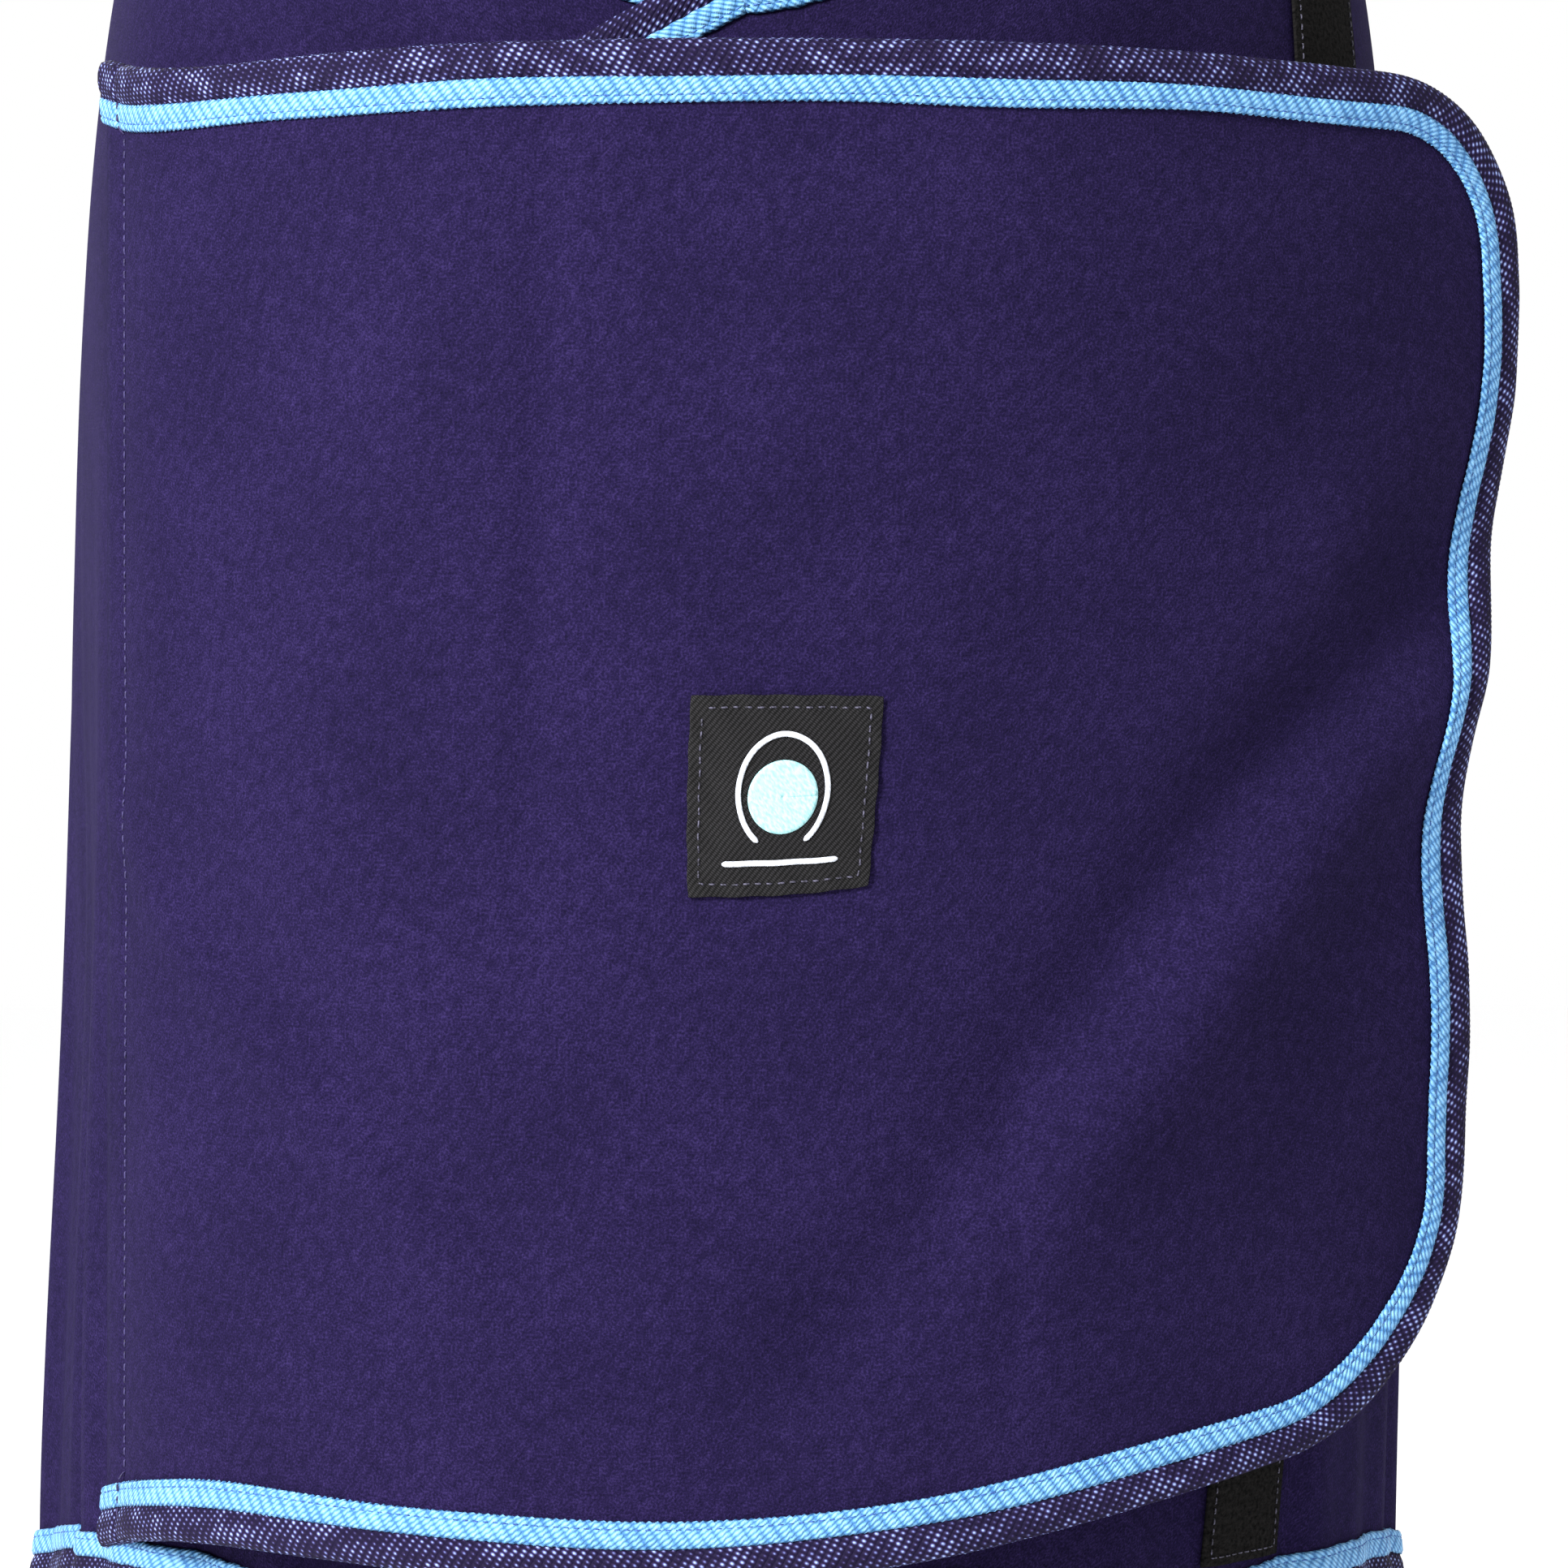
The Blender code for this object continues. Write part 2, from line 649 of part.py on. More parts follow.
def make_flap():
    path = flap_path()
    grid = columns(path, FLAP_WIDTH, FLAP_ROWS)
    lines = [row[0][0] for row in grid]
    cloth("flap_panel", [[flap(s, z, 0) for s, z in row] for row in grid], FLEECE, "fleece")
    bind_edge("flap", chart_places(flap, path, 1))
    lift = FLEECE / 2 + GAP + TAPE / 2
    patch_on("flap_hook_strip", flap, lines, (FLAP_STRIP_S, FLAP_STRIP_Z), FLAP_STRIP, -lift, TAPE, "hook_and_loop")
    lift = FLEECE / 2 + GAP + LABEL / 2
    patch_on("flap_label", flap, lines, LABEL_AT, (LABEL_SIDE, LABEL_SIDE), lift, LABEL, "label", 2)


def make_tail_flap():
    length, half, corner = TAIL_FLAP_LENGTH, TAIL_FLAP_HALF, TAIL_FLAP_CORNER
    stops = [length * share for share in (0, 0.06, 0.12, 0.17, 0.21, 0.25, 0.3, 0.35, 0.38, 0.4, 0.42, 0.44, 0.46, 0.48, 0.52, 0.65, 0.8)]
    corners = [(x, -half, 0) for x in stops] + [(length, -half, corner), (length, half, corner)]
    corners += [(x, half, 0) for x in reversed(stops)]
    path = with_rows(rounded(corners), length, TAIL_FLAP_ROWS)
    grid = columns(path, length, TAIL_FLAP_ROWS)
    cloth("tail_flap_panel", [[tail_flap(x, y, 0) for x, y in row] for row in grid], FLEECE, "fleece")
    bind_edge("tail_flap", chart_places(tail_flap, path[1:-1], -1), True)


def upright(place, facing):
    """A frame at place whose local +X is facing, local Z up and local Y across the webbing."""
    x = Vector((facing.x, facing.y, 0)).normalized()
    z = Vector((0, 0, 1))
    y = z.cross(x)
    return Matrix.Translation(place) @ Matrix((x, y, z)).transposed().to_4x4()


def hem_point(y, side):
    """The hem's middle at distance y behind the withers."""
    low, high = float(WITHERS), float(REAR)
    for _ in range(30):
        u = (low + high) / 2
        if body(u, 1.0).y < y:
            low = u
        else:
            high = u
    p = body(u, 1.0)
    return u, Vector((side * p.x, p.y, p.z))


def around_bar(bar, up, out, half_thick, half_high, height, tail):
    """Webbing's middle line down one side of a bar, round it and back up the other side.

    out points from the bar's middle to the side that carries on; height and tail are how far each side runs."""
    away = half_thick + WEB_CLEARANCE + WEBBING / 2
    below = half_high + WEB_CLEARANCE + WEBBING / 2 + 0.0002
    turn = [(away, half_high), (away * 0.7, below), (-away * 0.7, below), (-away, half_high)]
    line = [bar + out * away + up * height]
    line += [bar + out * n - up * depth for n, depth in turn]
    line.append(bar - out * away + up * tail)
    return line


def make_slot_plate(name, frame):
    """The hem's half of a surcingle fastening: a rail for its tab above, and below it a slot for the T-hook."""
    wide, tall, thick = PLATE
    top = T_REACH + tall * 0.4
    plate = add_object(name, mesh_of(name, box((thick, wide, tall), (0, 0, top - tall / 2), frame)), "metal")
    combine(plate, "DIFFERENCE", box((thick * 4, *T_SLOT), (0, 0, 0), frame))
    slot = box((thick * 4, SURCINGLE_WIDTH + 0.002, BAR_SLOT), (0, 0, top - RAIL - BAR_SLOT / 2), frame)
    combine(plate, "DIFFERENCE", slot)
    return top - RAIL / 2


def make_t_hook(name, frame, out):
    """The strap's half: a plate behind the slot plate, a round neck through its slot and a cross head outside."""
    wide, tall, thick = PLATE
    away = thick + GAP * 1.5
    low = T_REACH - tall
    size = (thick, wide, tall)
    hook = add_object(name, mesh_of(name, box(size, (-out * away, 0, T_REACH - tall / 2), frame)), "metal")
    turn = frame @ Matrix.Rotation(math.radians(90), 4, "Y")
    combine(hook, "UNION", cylinder(NECK_RADIUS, away * 2, (0, 0, 0), turn))
    combine(hook, "UNION", box((HEAD[2], HEAD[0], HEAD[1]), (out * away, 0, 0), frame))
    slot = (thick * 4, SURCINGLE_WIDTH + 0.002, BAR_SLOT)
    combine(hook, "DIFFERENCE", box(slot, (-out * away, 0, low + RAIL + BAR_SLOT / 2), frame))
    return -out * away, low + RAIL / 2


def make_surcingle(word, right_y, left_y, sag):
    """One detachable strap under the belly, hooked to a plate on each side."""
    ends = []
    for side, y in ((-1, right_y), (1, left_y)):
        _, hem = hem_point(y, side)
        ends.append(Vector((hem.x - side * SURCINGLE_INSET, hem.y, hem.z - SURCINGLE_DROP)))
    chord = (ends[1] - ends[0]).normalized()
    for side, end, hand in ((-1, ends[0], "right"), (1, ends[1], "left")):
        frame = upright(end, chord)
        rail = make_slot_plate(f"slot_plate_{word}_{hand}", frame)
        make_tab(f"tab_{word}_{hand}", end, rail, chord, side)
        make_patch(f"patch_{word}_{hand}", end.y, side)
        behind, low = make_t_hook(f"t_hook_{word}_{hand}", frame, side)
    make_strap(word, ends, chord, abs(behind), low, sag)


def make_tab(name, end, rail, chord, side):
    """Webbing from inside the hem, turning a little to face along the strap, round the slot plate's rail."""
    u, hem = hem_point(end.y, side)
    up = Vector((0, 0, 1))
    facing = up.cross(chord)
    bar = end + up * rail
    loop = around_bar(bar, up, chord * side, PLATE[2] / 2, RAIL / 2, 0.010, 0.012)
    inside = FLEECE / 2 + TAPE + GAP * 2.5 + WEBBING / 2
    centres, ways = [], []
    for rise in (0.052, 0.030, 0.006, -0.004):
        p = body_lifted(u, 1.0 - rise / 0.9, -inside)
        centres.append(Vector((side * p.x, p.y, hem.z + rise)))
        ways.append(Vector((0, 1, 0)))
    centres += loop
    ways += [facing] * len(loop)
    ribbon(name, centres, ways, SURCINGLE_WIDTH, WEBBING, "webbing")


def make_patch(name, y, side):
    """The square of tape that spreads a surcingle's pull over the fleece, outside the hem."""
    u, hem = hem_point(y, side)
    rise = BINDING_WIDTH + TRIM_WIDTH + 0.006 + PATCH[1] / 2
    rows = []
    for i in range(3):
        row = []
        for j in range(3):
            v = 1 - (rise + PATCH[1] * (j / 2 - 0.5)) / 0.99
            p = body_lifted(u + PATCH[0] * (i / 2 - 0.5) / 0.27, v, FLEECE / 2 + GAP * 2.5 + TAPE / 2)
            row.append(Vector((side * p.x, p.y, p.z)))
        rows.append(row)
    cloth(name, rows, TAPE, "webbing")


def make_strap(word, ends, chord, behind, low, sag):
    """Webbing from one T-hook to the other: round its rail, straight down, under the belly and up again. At the
    right end its tail comes back through the slide."""
    down = Vector((0, 0, -1))
    widthways = down.cross(chord)
    right = ends[0] + chord * behind - down * low
    left = ends[1] - chord * behind - down * low
    first = around_bar(right, down, chord, PLATE[2] / 2, RAIL / 2, 0.020, SLIDE_TAIL)
    last = around_bar(left, down, -chord, PLATE[2] / 2, RAIL / 2, 0.020, 0.030)
    start = first[0] + down * (SURCINGLE_STRAIGHT - 0.020)
    end = last[0] + down * (SURCINGLE_STRAIGHT - 0.020)
    middle, half = (start + end) / 2, (end - start).length / 2
    centres = list(reversed(first))
    for i in range(15):
        t = math.pi * i / 14
        centres.append(middle - chord * (half * math.cos(t)) + down * (sag * math.sin(t) ** 0.9))
    ribbon(f"strap_{word}", centres + last, [widthways] * (len(centres) + len(last)), SURCINGLE_WIDTH, WEBBING,
           "webbing")
    make_slide(f"adjuster_{word}", right + down * SLIDE_DROP, chord)


def make_slide(name, centre, chord):
    """A moulded slide: the strap runs down one window and its tail up the other, with the bar between them."""
    frame = upright(centre, chord)
    slide = add_object(name, mesh_of(name, box(SLIDE, (0, 0, 0), frame)), "plastic")
    away = PLATE[2] / 2 + WEB_CLEARANCE + WEBBING / 2
    window = (WEBBING + 2 * WEB_CLEARANCE, SURCINGLE_WIDTH + 2 * WEB_CLEARANCE, SLIDE[2] * 2)
    for side in (-1, 1):
        combine(slide, "DIFFERENCE", box(window, (side * away, 0, 0), frame))


def make_rear_rings():
    """A D-ring inside each rear corner, for a fillet string or leg strap, on a loop of webbing."""
    for side, word in ((-1, "right"), (1, "left")):
        u, v = REAR - 0.42, 0.90
        inside = FLEECE / 2 + GAP * 2 + WEBBING / 2
        top = body_lifted(u, v - 0.055, -inside)
        along = body(u + 0.05, v) - body(u - 0.05, v)
        along = Vector((along.x, along.y, 0)).normalized()
        out = along.cross(Vector((0, 0, 1)))
        away = RING_WIRE * 0.75 + WEB_CLEARANCE + WEBBING / 2
        bar = body_lifted(u, v, -inside) - out * away
        for p in (top, along, out, bar):
            p.x *= side
        loop = around_bar(bar, Vector((0, 0, 1)), out, RING_WIRE * 0.75, RING_WIRE * 0.75, 0.008, 0.018)
        centres = [top, top.lerp(loop[0], 0.6)] + loop
        ribbon(f"ring_tab_{word}", centres, [along] * len(centres), RING_WIDTH - 0.006, WEBBING, "webbing")
        make_ring(f"ring_{word}", bar, along, out)


def make_ring(name, bar, along, out):
    """A moulded D-ring, flat on both faces, hanging from its straight bar."""
    wire, depth, half = RING_WIRE / 2, RING_DEPTH, RING_WIDTH / 2
    outer = [(-half - 2 * wire, wire, 0), (-half - 2 * wire, wire - depth, 0.014)]
    outer += [(-x, y, r) for x, y, r in reversed(outer)]
    inner = [(-half, -wire, 0), (-half, 3 * wire - depth, 0.010)]
    inner += [(-x, y, r) for x, y, r in reversed(inner)]
    curve = bpy.data.curves.new(name, "CURVE")
    curve.dimensions = "2D"
    curve.fill_mode = "BOTH"
    curve.extrude = wire
    for line in (rounded(outer), rounded(inner)):
        spline = curve.splines.new("POLY")
        spline.points.add(len(line) - 1)
        for point, p in zip(spline.points, line):
            point.co = (p.x, p.y, 0, 1)
        spline.use_cyclic_u = True
    ring = bpy.data.objects.new(name, curve)
    curve.materials.append(MATERIALS["metal"])
    RUG.objects.link(ring)
    up = Vector((0, 0, 1))
    facing = along.cross(up)
    ring.matrix_world = Matrix.Translation(bar) @ Matrix((along, up, facing)).transposed().to_4x4()


def main():
    make_sides()
    make_spine_tape()
    make_fronts()
    make_flap()
    make_tail_flap()
    make_surcingle("front", SURCINGLE_ENDS[0], SURCINGLE_ENDS[1], SURCINGLE_SAG[0])
    make_surcingle("rear", SURCINGLE_ENDS[1], SURCINGLE_ENDS[0], SURCINGLE_SAG[1])
    make_rear_rings()


clear_scene()
RUG = make_collection("turnout_rug")
CUTTERS = make_collection("cutters")
MATERIALS = make_materials()
main()
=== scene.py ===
# Fleece turnout rug as it hangs on a horse: the looks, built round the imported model.
# The horse faces -Y, its left side is +X, and the origin is the withers. Metres throughout.
import math

import bpy
import numpy as np
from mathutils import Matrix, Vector


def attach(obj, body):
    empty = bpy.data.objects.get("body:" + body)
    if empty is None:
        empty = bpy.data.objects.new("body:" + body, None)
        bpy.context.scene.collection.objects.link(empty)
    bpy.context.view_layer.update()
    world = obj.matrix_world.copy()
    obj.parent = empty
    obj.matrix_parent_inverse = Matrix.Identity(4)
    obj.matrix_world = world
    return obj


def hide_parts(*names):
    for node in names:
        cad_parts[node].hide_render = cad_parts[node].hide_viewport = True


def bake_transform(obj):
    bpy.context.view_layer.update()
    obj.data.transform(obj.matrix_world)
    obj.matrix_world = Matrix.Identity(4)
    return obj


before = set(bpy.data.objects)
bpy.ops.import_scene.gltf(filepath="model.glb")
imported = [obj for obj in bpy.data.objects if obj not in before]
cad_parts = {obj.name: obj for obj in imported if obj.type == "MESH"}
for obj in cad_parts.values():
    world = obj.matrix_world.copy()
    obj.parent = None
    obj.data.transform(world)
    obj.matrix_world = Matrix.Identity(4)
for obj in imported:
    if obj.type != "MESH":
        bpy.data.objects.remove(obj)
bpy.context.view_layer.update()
print("frame loaded:", len(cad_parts), "nodes")


# camera, light and floor

studio = {
    "cameraFrom": (0.0172, -2.060, -0.556),
    "lens": 107.6,
    "floorHeight": -1.60,  # a horse of 1.60 m stands on it
    "floorSize": 40.0,
    "floorColour": "#fefefe",
    "worldColour": "#ffffff",
    "worldStrength": 1.0,
    "sensor": 36.0,
    # where from, aimed at, size, power
    "lamps": [
        ((-1.9, -2.6, 0.9), (0.0, -0.5, -0.5), 1.0, 330.0),
        ((2.6, -0.6, 0.8), (0.0, 0.3, -0.5), 2.2, 22.0),
        ((-1.2, 3.6, 1.4), (0.0, 1.2, -0.4), 2.4, 60.0),
    ],
}


def linear(hexColour, alpha=1.0):
    parts = [int(hexColour[i : i + 2], 16) / 255 for i in (1, 3, 5)]
    parts = [c / 12.92 if c <= 0.04045 else ((c + 0.055) / 1.055) ** 2.4 for c in parts]
    return (*parts, alpha)


def aim(obj, target):
    way = Vector(target) - obj.location
    obj.rotation_mode = "QUATERNION"
    obj.rotation_quaternion = way.to_track_quat("-Z", "Y")


def inScene(name, data):
    obj = bpy.data.objects.new(name, data)
    bpy.context.scene.collection.objects.link(obj)
    return obj


def setStudio():
    scene = bpy.context.scene
    camera = inScene("camera", bpy.data.cameras.new("camera"))
    camera.location = studio["cameraFrom"]
    camera.data.lens = studio["lens"]
    camera.data.sensor_width = studio["sensor"]
    camera.data.clip_start = 0.05
    camera.rotation_euler = (math.radians(90), 0, 0)
    scene.camera = camera
    world = bpy.data.worlds.new("studio")
    world.use_nodes = True
    sky = world.node_tree.nodes["Background"]
    sky.inputs["Color"].default_value = linear(studio["worldColour"])
    sky.inputs["Strength"].default_value = studio["worldStrength"]
    scene.world = world
    for i, (place, target, size, power) in enumerate(studio["lamps"]):
        lamp = inScene(f"lamp{i}", bpy.data.lights.new(f"lamp{i}", "AREA"))
        lamp.data.shape = "DISK"
        lamp.data.size = size
        lamp.data.energy = power
        lamp.location = place
        aim(lamp, target)
    scene.view_settings.view_transform = "Standard"
    half = studio["floorSize"] / 2
    mesh = bpy.data.meshes.new("floor")
    corners = [(-half, -half), (half, -half), (half, half), (-half, half)]
    mesh.from_pydata([(x, y, studio["floorHeight"]) for x, y in corners], [], [(0, 1, 2, 3)])
    paint = {"Base Color": linear(studio["floorColour"]), "Roughness": 0.8}
    mesh.materials.append(newMaterial("painted studio floor", paint)[0])
    inScene("floor", mesh)


def addNode(tree, kind, settings=None, links=None):
    node = tree.nodes.new("ShaderNode" + kind)
    for key, value in (settings or {}).items():
        if isinstance(key, int) or key in node.inputs:
            node.inputs[key].default_value = value
        else:
            setattr(node, key, value)
    for key, source in (links or {}).items():
        tree.links.new(source, node.inputs[key])
    return node


def newMaterial(name, sockets):
    material = bpy.data.materials.new(name)
    material.use_nodes = True
    shader = material.node_tree.nodes["Principled BSDF"]
    for key, value in sockets.items():
        shader.inputs[key].default_value = value
    return material, material.node_tree, shader


setStudio()
print("studio set")


# materials

# The cloth's own flat place, turned by degrees and counted in pitches (metres each way)
def clothPlace(tree, pitch, turn=0.0):
    uv = addNode(tree, "UVMap", {"uv_map": "cloth"})
    settings = {"vector_type": "TEXTURE", "Rotation": (0, 0, math.radians(turn)), "Scale": (*pitch, 1.0)}
    return addNode(tree, "Mapping", settings, {"Vector": uv.outputs["UV"]}).outputs["Vector"]


def noiseOf(tree, place, detail=2.0, rough=0.55):
    settings = {"Scale": 1.0, "Detail": detail, "Roughness": rough}
    return addNode(tree, "TexNoise", settings, {"Vector": place}).outputs["Fac"]


def threadOf(tree, place, loose):
    settings = {"Scale": 1.0, "Randomness": loose}
    return addNode(tree, "TexVoronoi", settings, {"Vector": place}).outputs["Distance"]


def shades(tree, factor, stops):
    ramp = addNode(tree, "ValToRGB", links={"Fac": factor})
    marks = ramp.color_ramp.elements
    while len(marks) < len(stops):
        marks.new(0.5)
    for mark, (at, colour) in zip(marks, stops):
        mark.position = at
        mark.color = linear(colour)
    return ramp.outputs["Color"]


def levels(tree, value, low, high):
    settings = {"From Min": low[0], "From Max": high[0], "To Min": low[1], "To Max": high[1]}
    return addNode(tree, "MapRange", settings, {"Value": value}).outputs["Result"]


def sums(tree, parts):
    total = None
    for value, weight in parts:
        made = addNode(tree, "Math", {"operation": "MULTIPLY", 1: weight}, {0: value}).outputs[0]
        if total is not None:
            made = addNode(tree, "Math", {"operation": "ADD"}, {0: total, 1: made}).outputs[0]
        total = made
    return total


def relief(tree, shader, height, depth):
    bump = addNode(tree, "Bump", {"Distance": depth, "Strength": 1.0}, {"Height": height})
    tree.links.new(bump.outputs["Normal"], shader.inputs["Normal"])


def coloured(tree, shader, factor, stops):
    tree.links.new(shades(tree, factor, stops), shader.inputs["Base Color"])


# Polar fleece, 300 g polyester, brushed both sides: a soft even pile that scatters light, with faint clumps; the pile's
# colour is painted darker in its hollows: painted shade
fleeceLook = {
    "fibre": 0.0008,  # real fibres are 0.02 mm, drawn as tufts of 0.8 mm
    "clump": 0.0042,
    "brushed": (0.0022, 0.0075),
    "broad": 0.065,
    "tone": (0.60, 0.14, 0.16, 0.10),  # shares of fibre, clump, brushed and broad
    "pile": (0.7, 0.3, 0.3),  # shares of fibre, clump and brushed
    "stops": [(0.36, "#0b081a"), (0.50, "#150f2a"), (0.66, "#271e44")],
    "depth": 0.0007,
    "sockets": {
        "Roughness": 0.95, "IOR": 1.50, "Specular IOR Level": 0.03, "Sheen Weight": 0.03, "Sheen Roughness": 0.45,
        "Sheen Tint": linear("#8078c8"),
    },
}


def brushedFleece():
    look = fleeceLook
    material, tree, shader = newMaterial("brushed polar fleece", look["sockets"])
    fibre = noiseOf(tree, clothPlace(tree, (look["fibre"],) * 2), 3.0, 0.6)
    clump = noiseOf(tree, clothPlace(tree, (look["clump"],) * 2, 20))
    brushed = noiseOf(tree, clothPlace(tree, look["brushed"], 34))
    broad = noiseOf(tree, clothPlace(tree, (look["broad"],) * 2), 1.0)
    # The fibre, clump and brushed noises also raise the pile, so the colour is darker where the pile is low: painted
    # shade; broad is tone that differs at random
    coloured(tree, shader, sums(tree, zip((fibre, clump, brushed, broad), look["tone"])), look["stops"])
    relief(tree, shader, sums(tree, zip((fibre, clump, brushed), look["pile"])), look["depth"])
    return material


# Polypropylene binding, twill woven from a near-black and a pale blue yarn: pale knots in slanting rows
bindingLook = {
    "name": "two tone twill binding",
    "sockets": {"Roughness": 0.60, "IOR": 1.49, "Specular IOR Level": 0.04},
    "knot": (0.0027, 0.0017),
    "loose": 0.12,
    "slant": -30,
    "patch": (0.011, 0.006),
    "fade": ((0.36, 0.0), (0.64, 0.22)),
    "strand": (0.0006, 0.0022),
    "strandShare": 0.25,
    "stops": [(0.10, "#8d9fca"), (0.25, "#4e5380"), (0.38, "#231b3a"), (0.56, "#130e24")],
    "depth": 0.0011,
}

# Light blue polyester twill tape: beads of yarn on slanting ribs with a silky gloss; each bead's colour is painted
# light in its middle and dark at its edges: painted highlight and painted shade
trimLook = {
    "name": "light blue twill tape",
    "sockets": {"Roughness": 0.48, "IOR": 1.54, "Specular IOR Level": 0.12},
    "knot": (0.0040, 0.0015),
    "loose": 0.06,
    "slant": -36,
    "patch": (0.009, 0.009),
    "fade": ((0.3, -0.06), (0.7, 0.08)),
    "strand": (0.0005, 0.0030),
    "strandShare": 0.3,
    # light bead middles and dark gaps between beads: painted highlight and painted shade
    "stops": [(0.06, "#7dabd0"), (0.32, "#6295c0"), (0.56, "#325f8e")],
    "depth": 0.0012,
}


def twill(look):
    material, tree, shader = newMaterial(look["name"], look["sockets"])
    knot = threadOf(tree, clothPlace(tree, look["knot"], look["slant"]), look["loose"])
    patchy = noiseOf(tree, clothPlace(tree, look["patch"]), 1.0)
    # The colour follows the knots that also raise the relief: in the light blue tape the light bead middles and dark
    # gaps are painted highlight and painted shade; in the binding the pale knots are its pale yarn
    coloured(tree, shader, sums(tree, [(knot, 1.0), (levels(tree, patchy, *look["fade"]), 1.0)]), look["stops"])
    strand = noiseOf(tree, clothPlace(tree, look["strand"], look["slant"]))
    relief(tree, shader, sums(tree, [(knot, -1.0), (strand, look["strandShare"])]), look["depth"])
    return material


# A cloth of one pattern: threads in rows where loose is given, otherwise a tangle; the colour follows the same pattern
# as the relief, so high places are painted lighter and low ones darker: painted highlight and painted shade
def plainCloth(name, gloss, pitch, turn, stops, depth, loose=None, tangle=(1.0, 0.55)):
    rough, ior, specular = gloss
    material, tree, shader = newMaterial(name, {"Roughness": rough, "IOR": ior, "Specular IOR Level": specular})
    place = clothPlace(tree, pitch, turn)
    if loose is None:
        pattern = height = noiseOf(tree, place, *tangle)
    else:
        pattern = threadOf(tree, place, loose)
        height = sums(tree, [(pattern, -1.0)])
    # high threads painted lighter, low places darker: painted highlight and painted shade
    coloured(tree, shader, pattern, stops)
    relief(tree, shader, height, depth)
    return material


# Embroidery and sewing thread, trilobal polyester: each is twisted, with a soft gloss; the ridges of the twist are
# painted lighter and its grooves darker: painted highlight and painted shade
def sewingThread(name, dark, light):
    return plainCloth(name, (0.50, 1.54, 0.15), (0.0009, 0.00216), 40, [(0.35, dark), (0.62, light)], 0.0003)


# Metal and plastic: a fine grain in the relief, and broad soft patches in the colour
def hardSurface(name, sockets, grain, broad, stops, worn, depth, roughByGrain=False):
    material, tree, shader = newMaterial(name, sockets)
    place = addNode(tree, "TexCoord").outputs["Object"]
    fine, wide = (
        addNode(tree, "TexNoise", {"Scale": scale, "Detail": detail}, {"Vector": place}).outputs["Fac"]
        for scale, detail in (grain, broad)
    )
    coloured(tree, shader, wide, stops)
    tree.links.new(levels(tree, fine if roughByGrain else wide, *worn), shader.inputs["Roughness"])
    relief(tree, shader, fine, depth)
    return material


finishes = {
    "fleece": brushedFleece(),
    "binding": twill(bindingLook),
    "trim": twill(trimLook),
    # Nylon hook and loop: the loop side is a matt tangle of pile, the hook side stands in straight rows; both are
    # painted lighter where they stand high and darker in their hollows: painted highlight and painted shade
    "loop": plainCloth(
        "black nylon loop pile", (0.95, 1.53, 0.02), (0.0017, 0.0017), 0, [(0.34, "#050505"), (0.62, "#191818")],
        0.0012, tangle=(4.0, 0.65),
    ),
    "hook": plainCloth(
        "black nylon hook tape", (0.55, 1.53, 0.12), (0.0015, 0.0019), 0, [(0.1, "#2b2a2a"), (0.5, "#070707")],
        0.0010, 0.05,
    ),
    # Woven polyester satin label: fine slanting ribs, painted lighter along their middles and darker between them:
    # painted highlight and painted shade
    "label": plainCloth(
        "black woven satin", (0.42, 1.54, 0.05), (0.0016, 0.00068), 38, [(0.14, "#242325"), (0.50, "#090909")],
        0.0003, 0.1,
    ),
    "discThread": sewingThread("pale aqua embroidery", "#739fa3", "#8db6b9"),
    "whiteThread": sewingThread("white embroidery", "#9a9ea8", "#bfc3cb"),
    "navyThread": sewingThread("navy sewing thread", "#17132c", "#332d55"),
    "blueThread": sewingThread("steel blue sewing thread", "#1d3268", "#355793"),
    "greyThread": sewingThread("charcoal sewing thread", "#17161c", "#4a4858"),
    # Navy polypropylene webbing: weft ribs across and two-thread columns along, painted lighter on the threads and
    # darker between them: painted highlight and painted shade
    "webbing": plainCloth(
        "navy polypropylene webbing", (0.60, 1.49, 0.14), (0.0021, 0.0030), 8,
        [(0.10, "#3a3560"), (0.38, "#221d40"), (0.62, "#0e0a1e")], 0.0008, 0.08,
    ),
    # Nickel plated steel, tumbled: bright with a soft grain, a little duller on the flats
    "metal": hardSurface(
        "tumbled nickel plate", {"Metallic": 1.0}, (900.0, 3.0), (90.0, 2.0), [(0.3, "#b9b7b2"), (0.7, "#d6d4cf")],
        ((0.3, 0.22), (0.7, 0.38)), 0.00004,
    ),
    # Black acetal slide, injection moulded with a fine spark texture
    "plastic": hardSurface(
        "moulded black acetal", {"IOR": 1.48, "Specular IOR Level": 0.5}, (2200.0, 2.0), (60.0, 2.0),
        [(0.3, "#131315"), (0.7, "#1f1f22")], ((0.3, 0.38), (0.7, 0.52)), 0.00005, roughByGrain=True,
    ),
}
print("materials made:", len(finishes))


# the horse-shaped surface that the rug follows

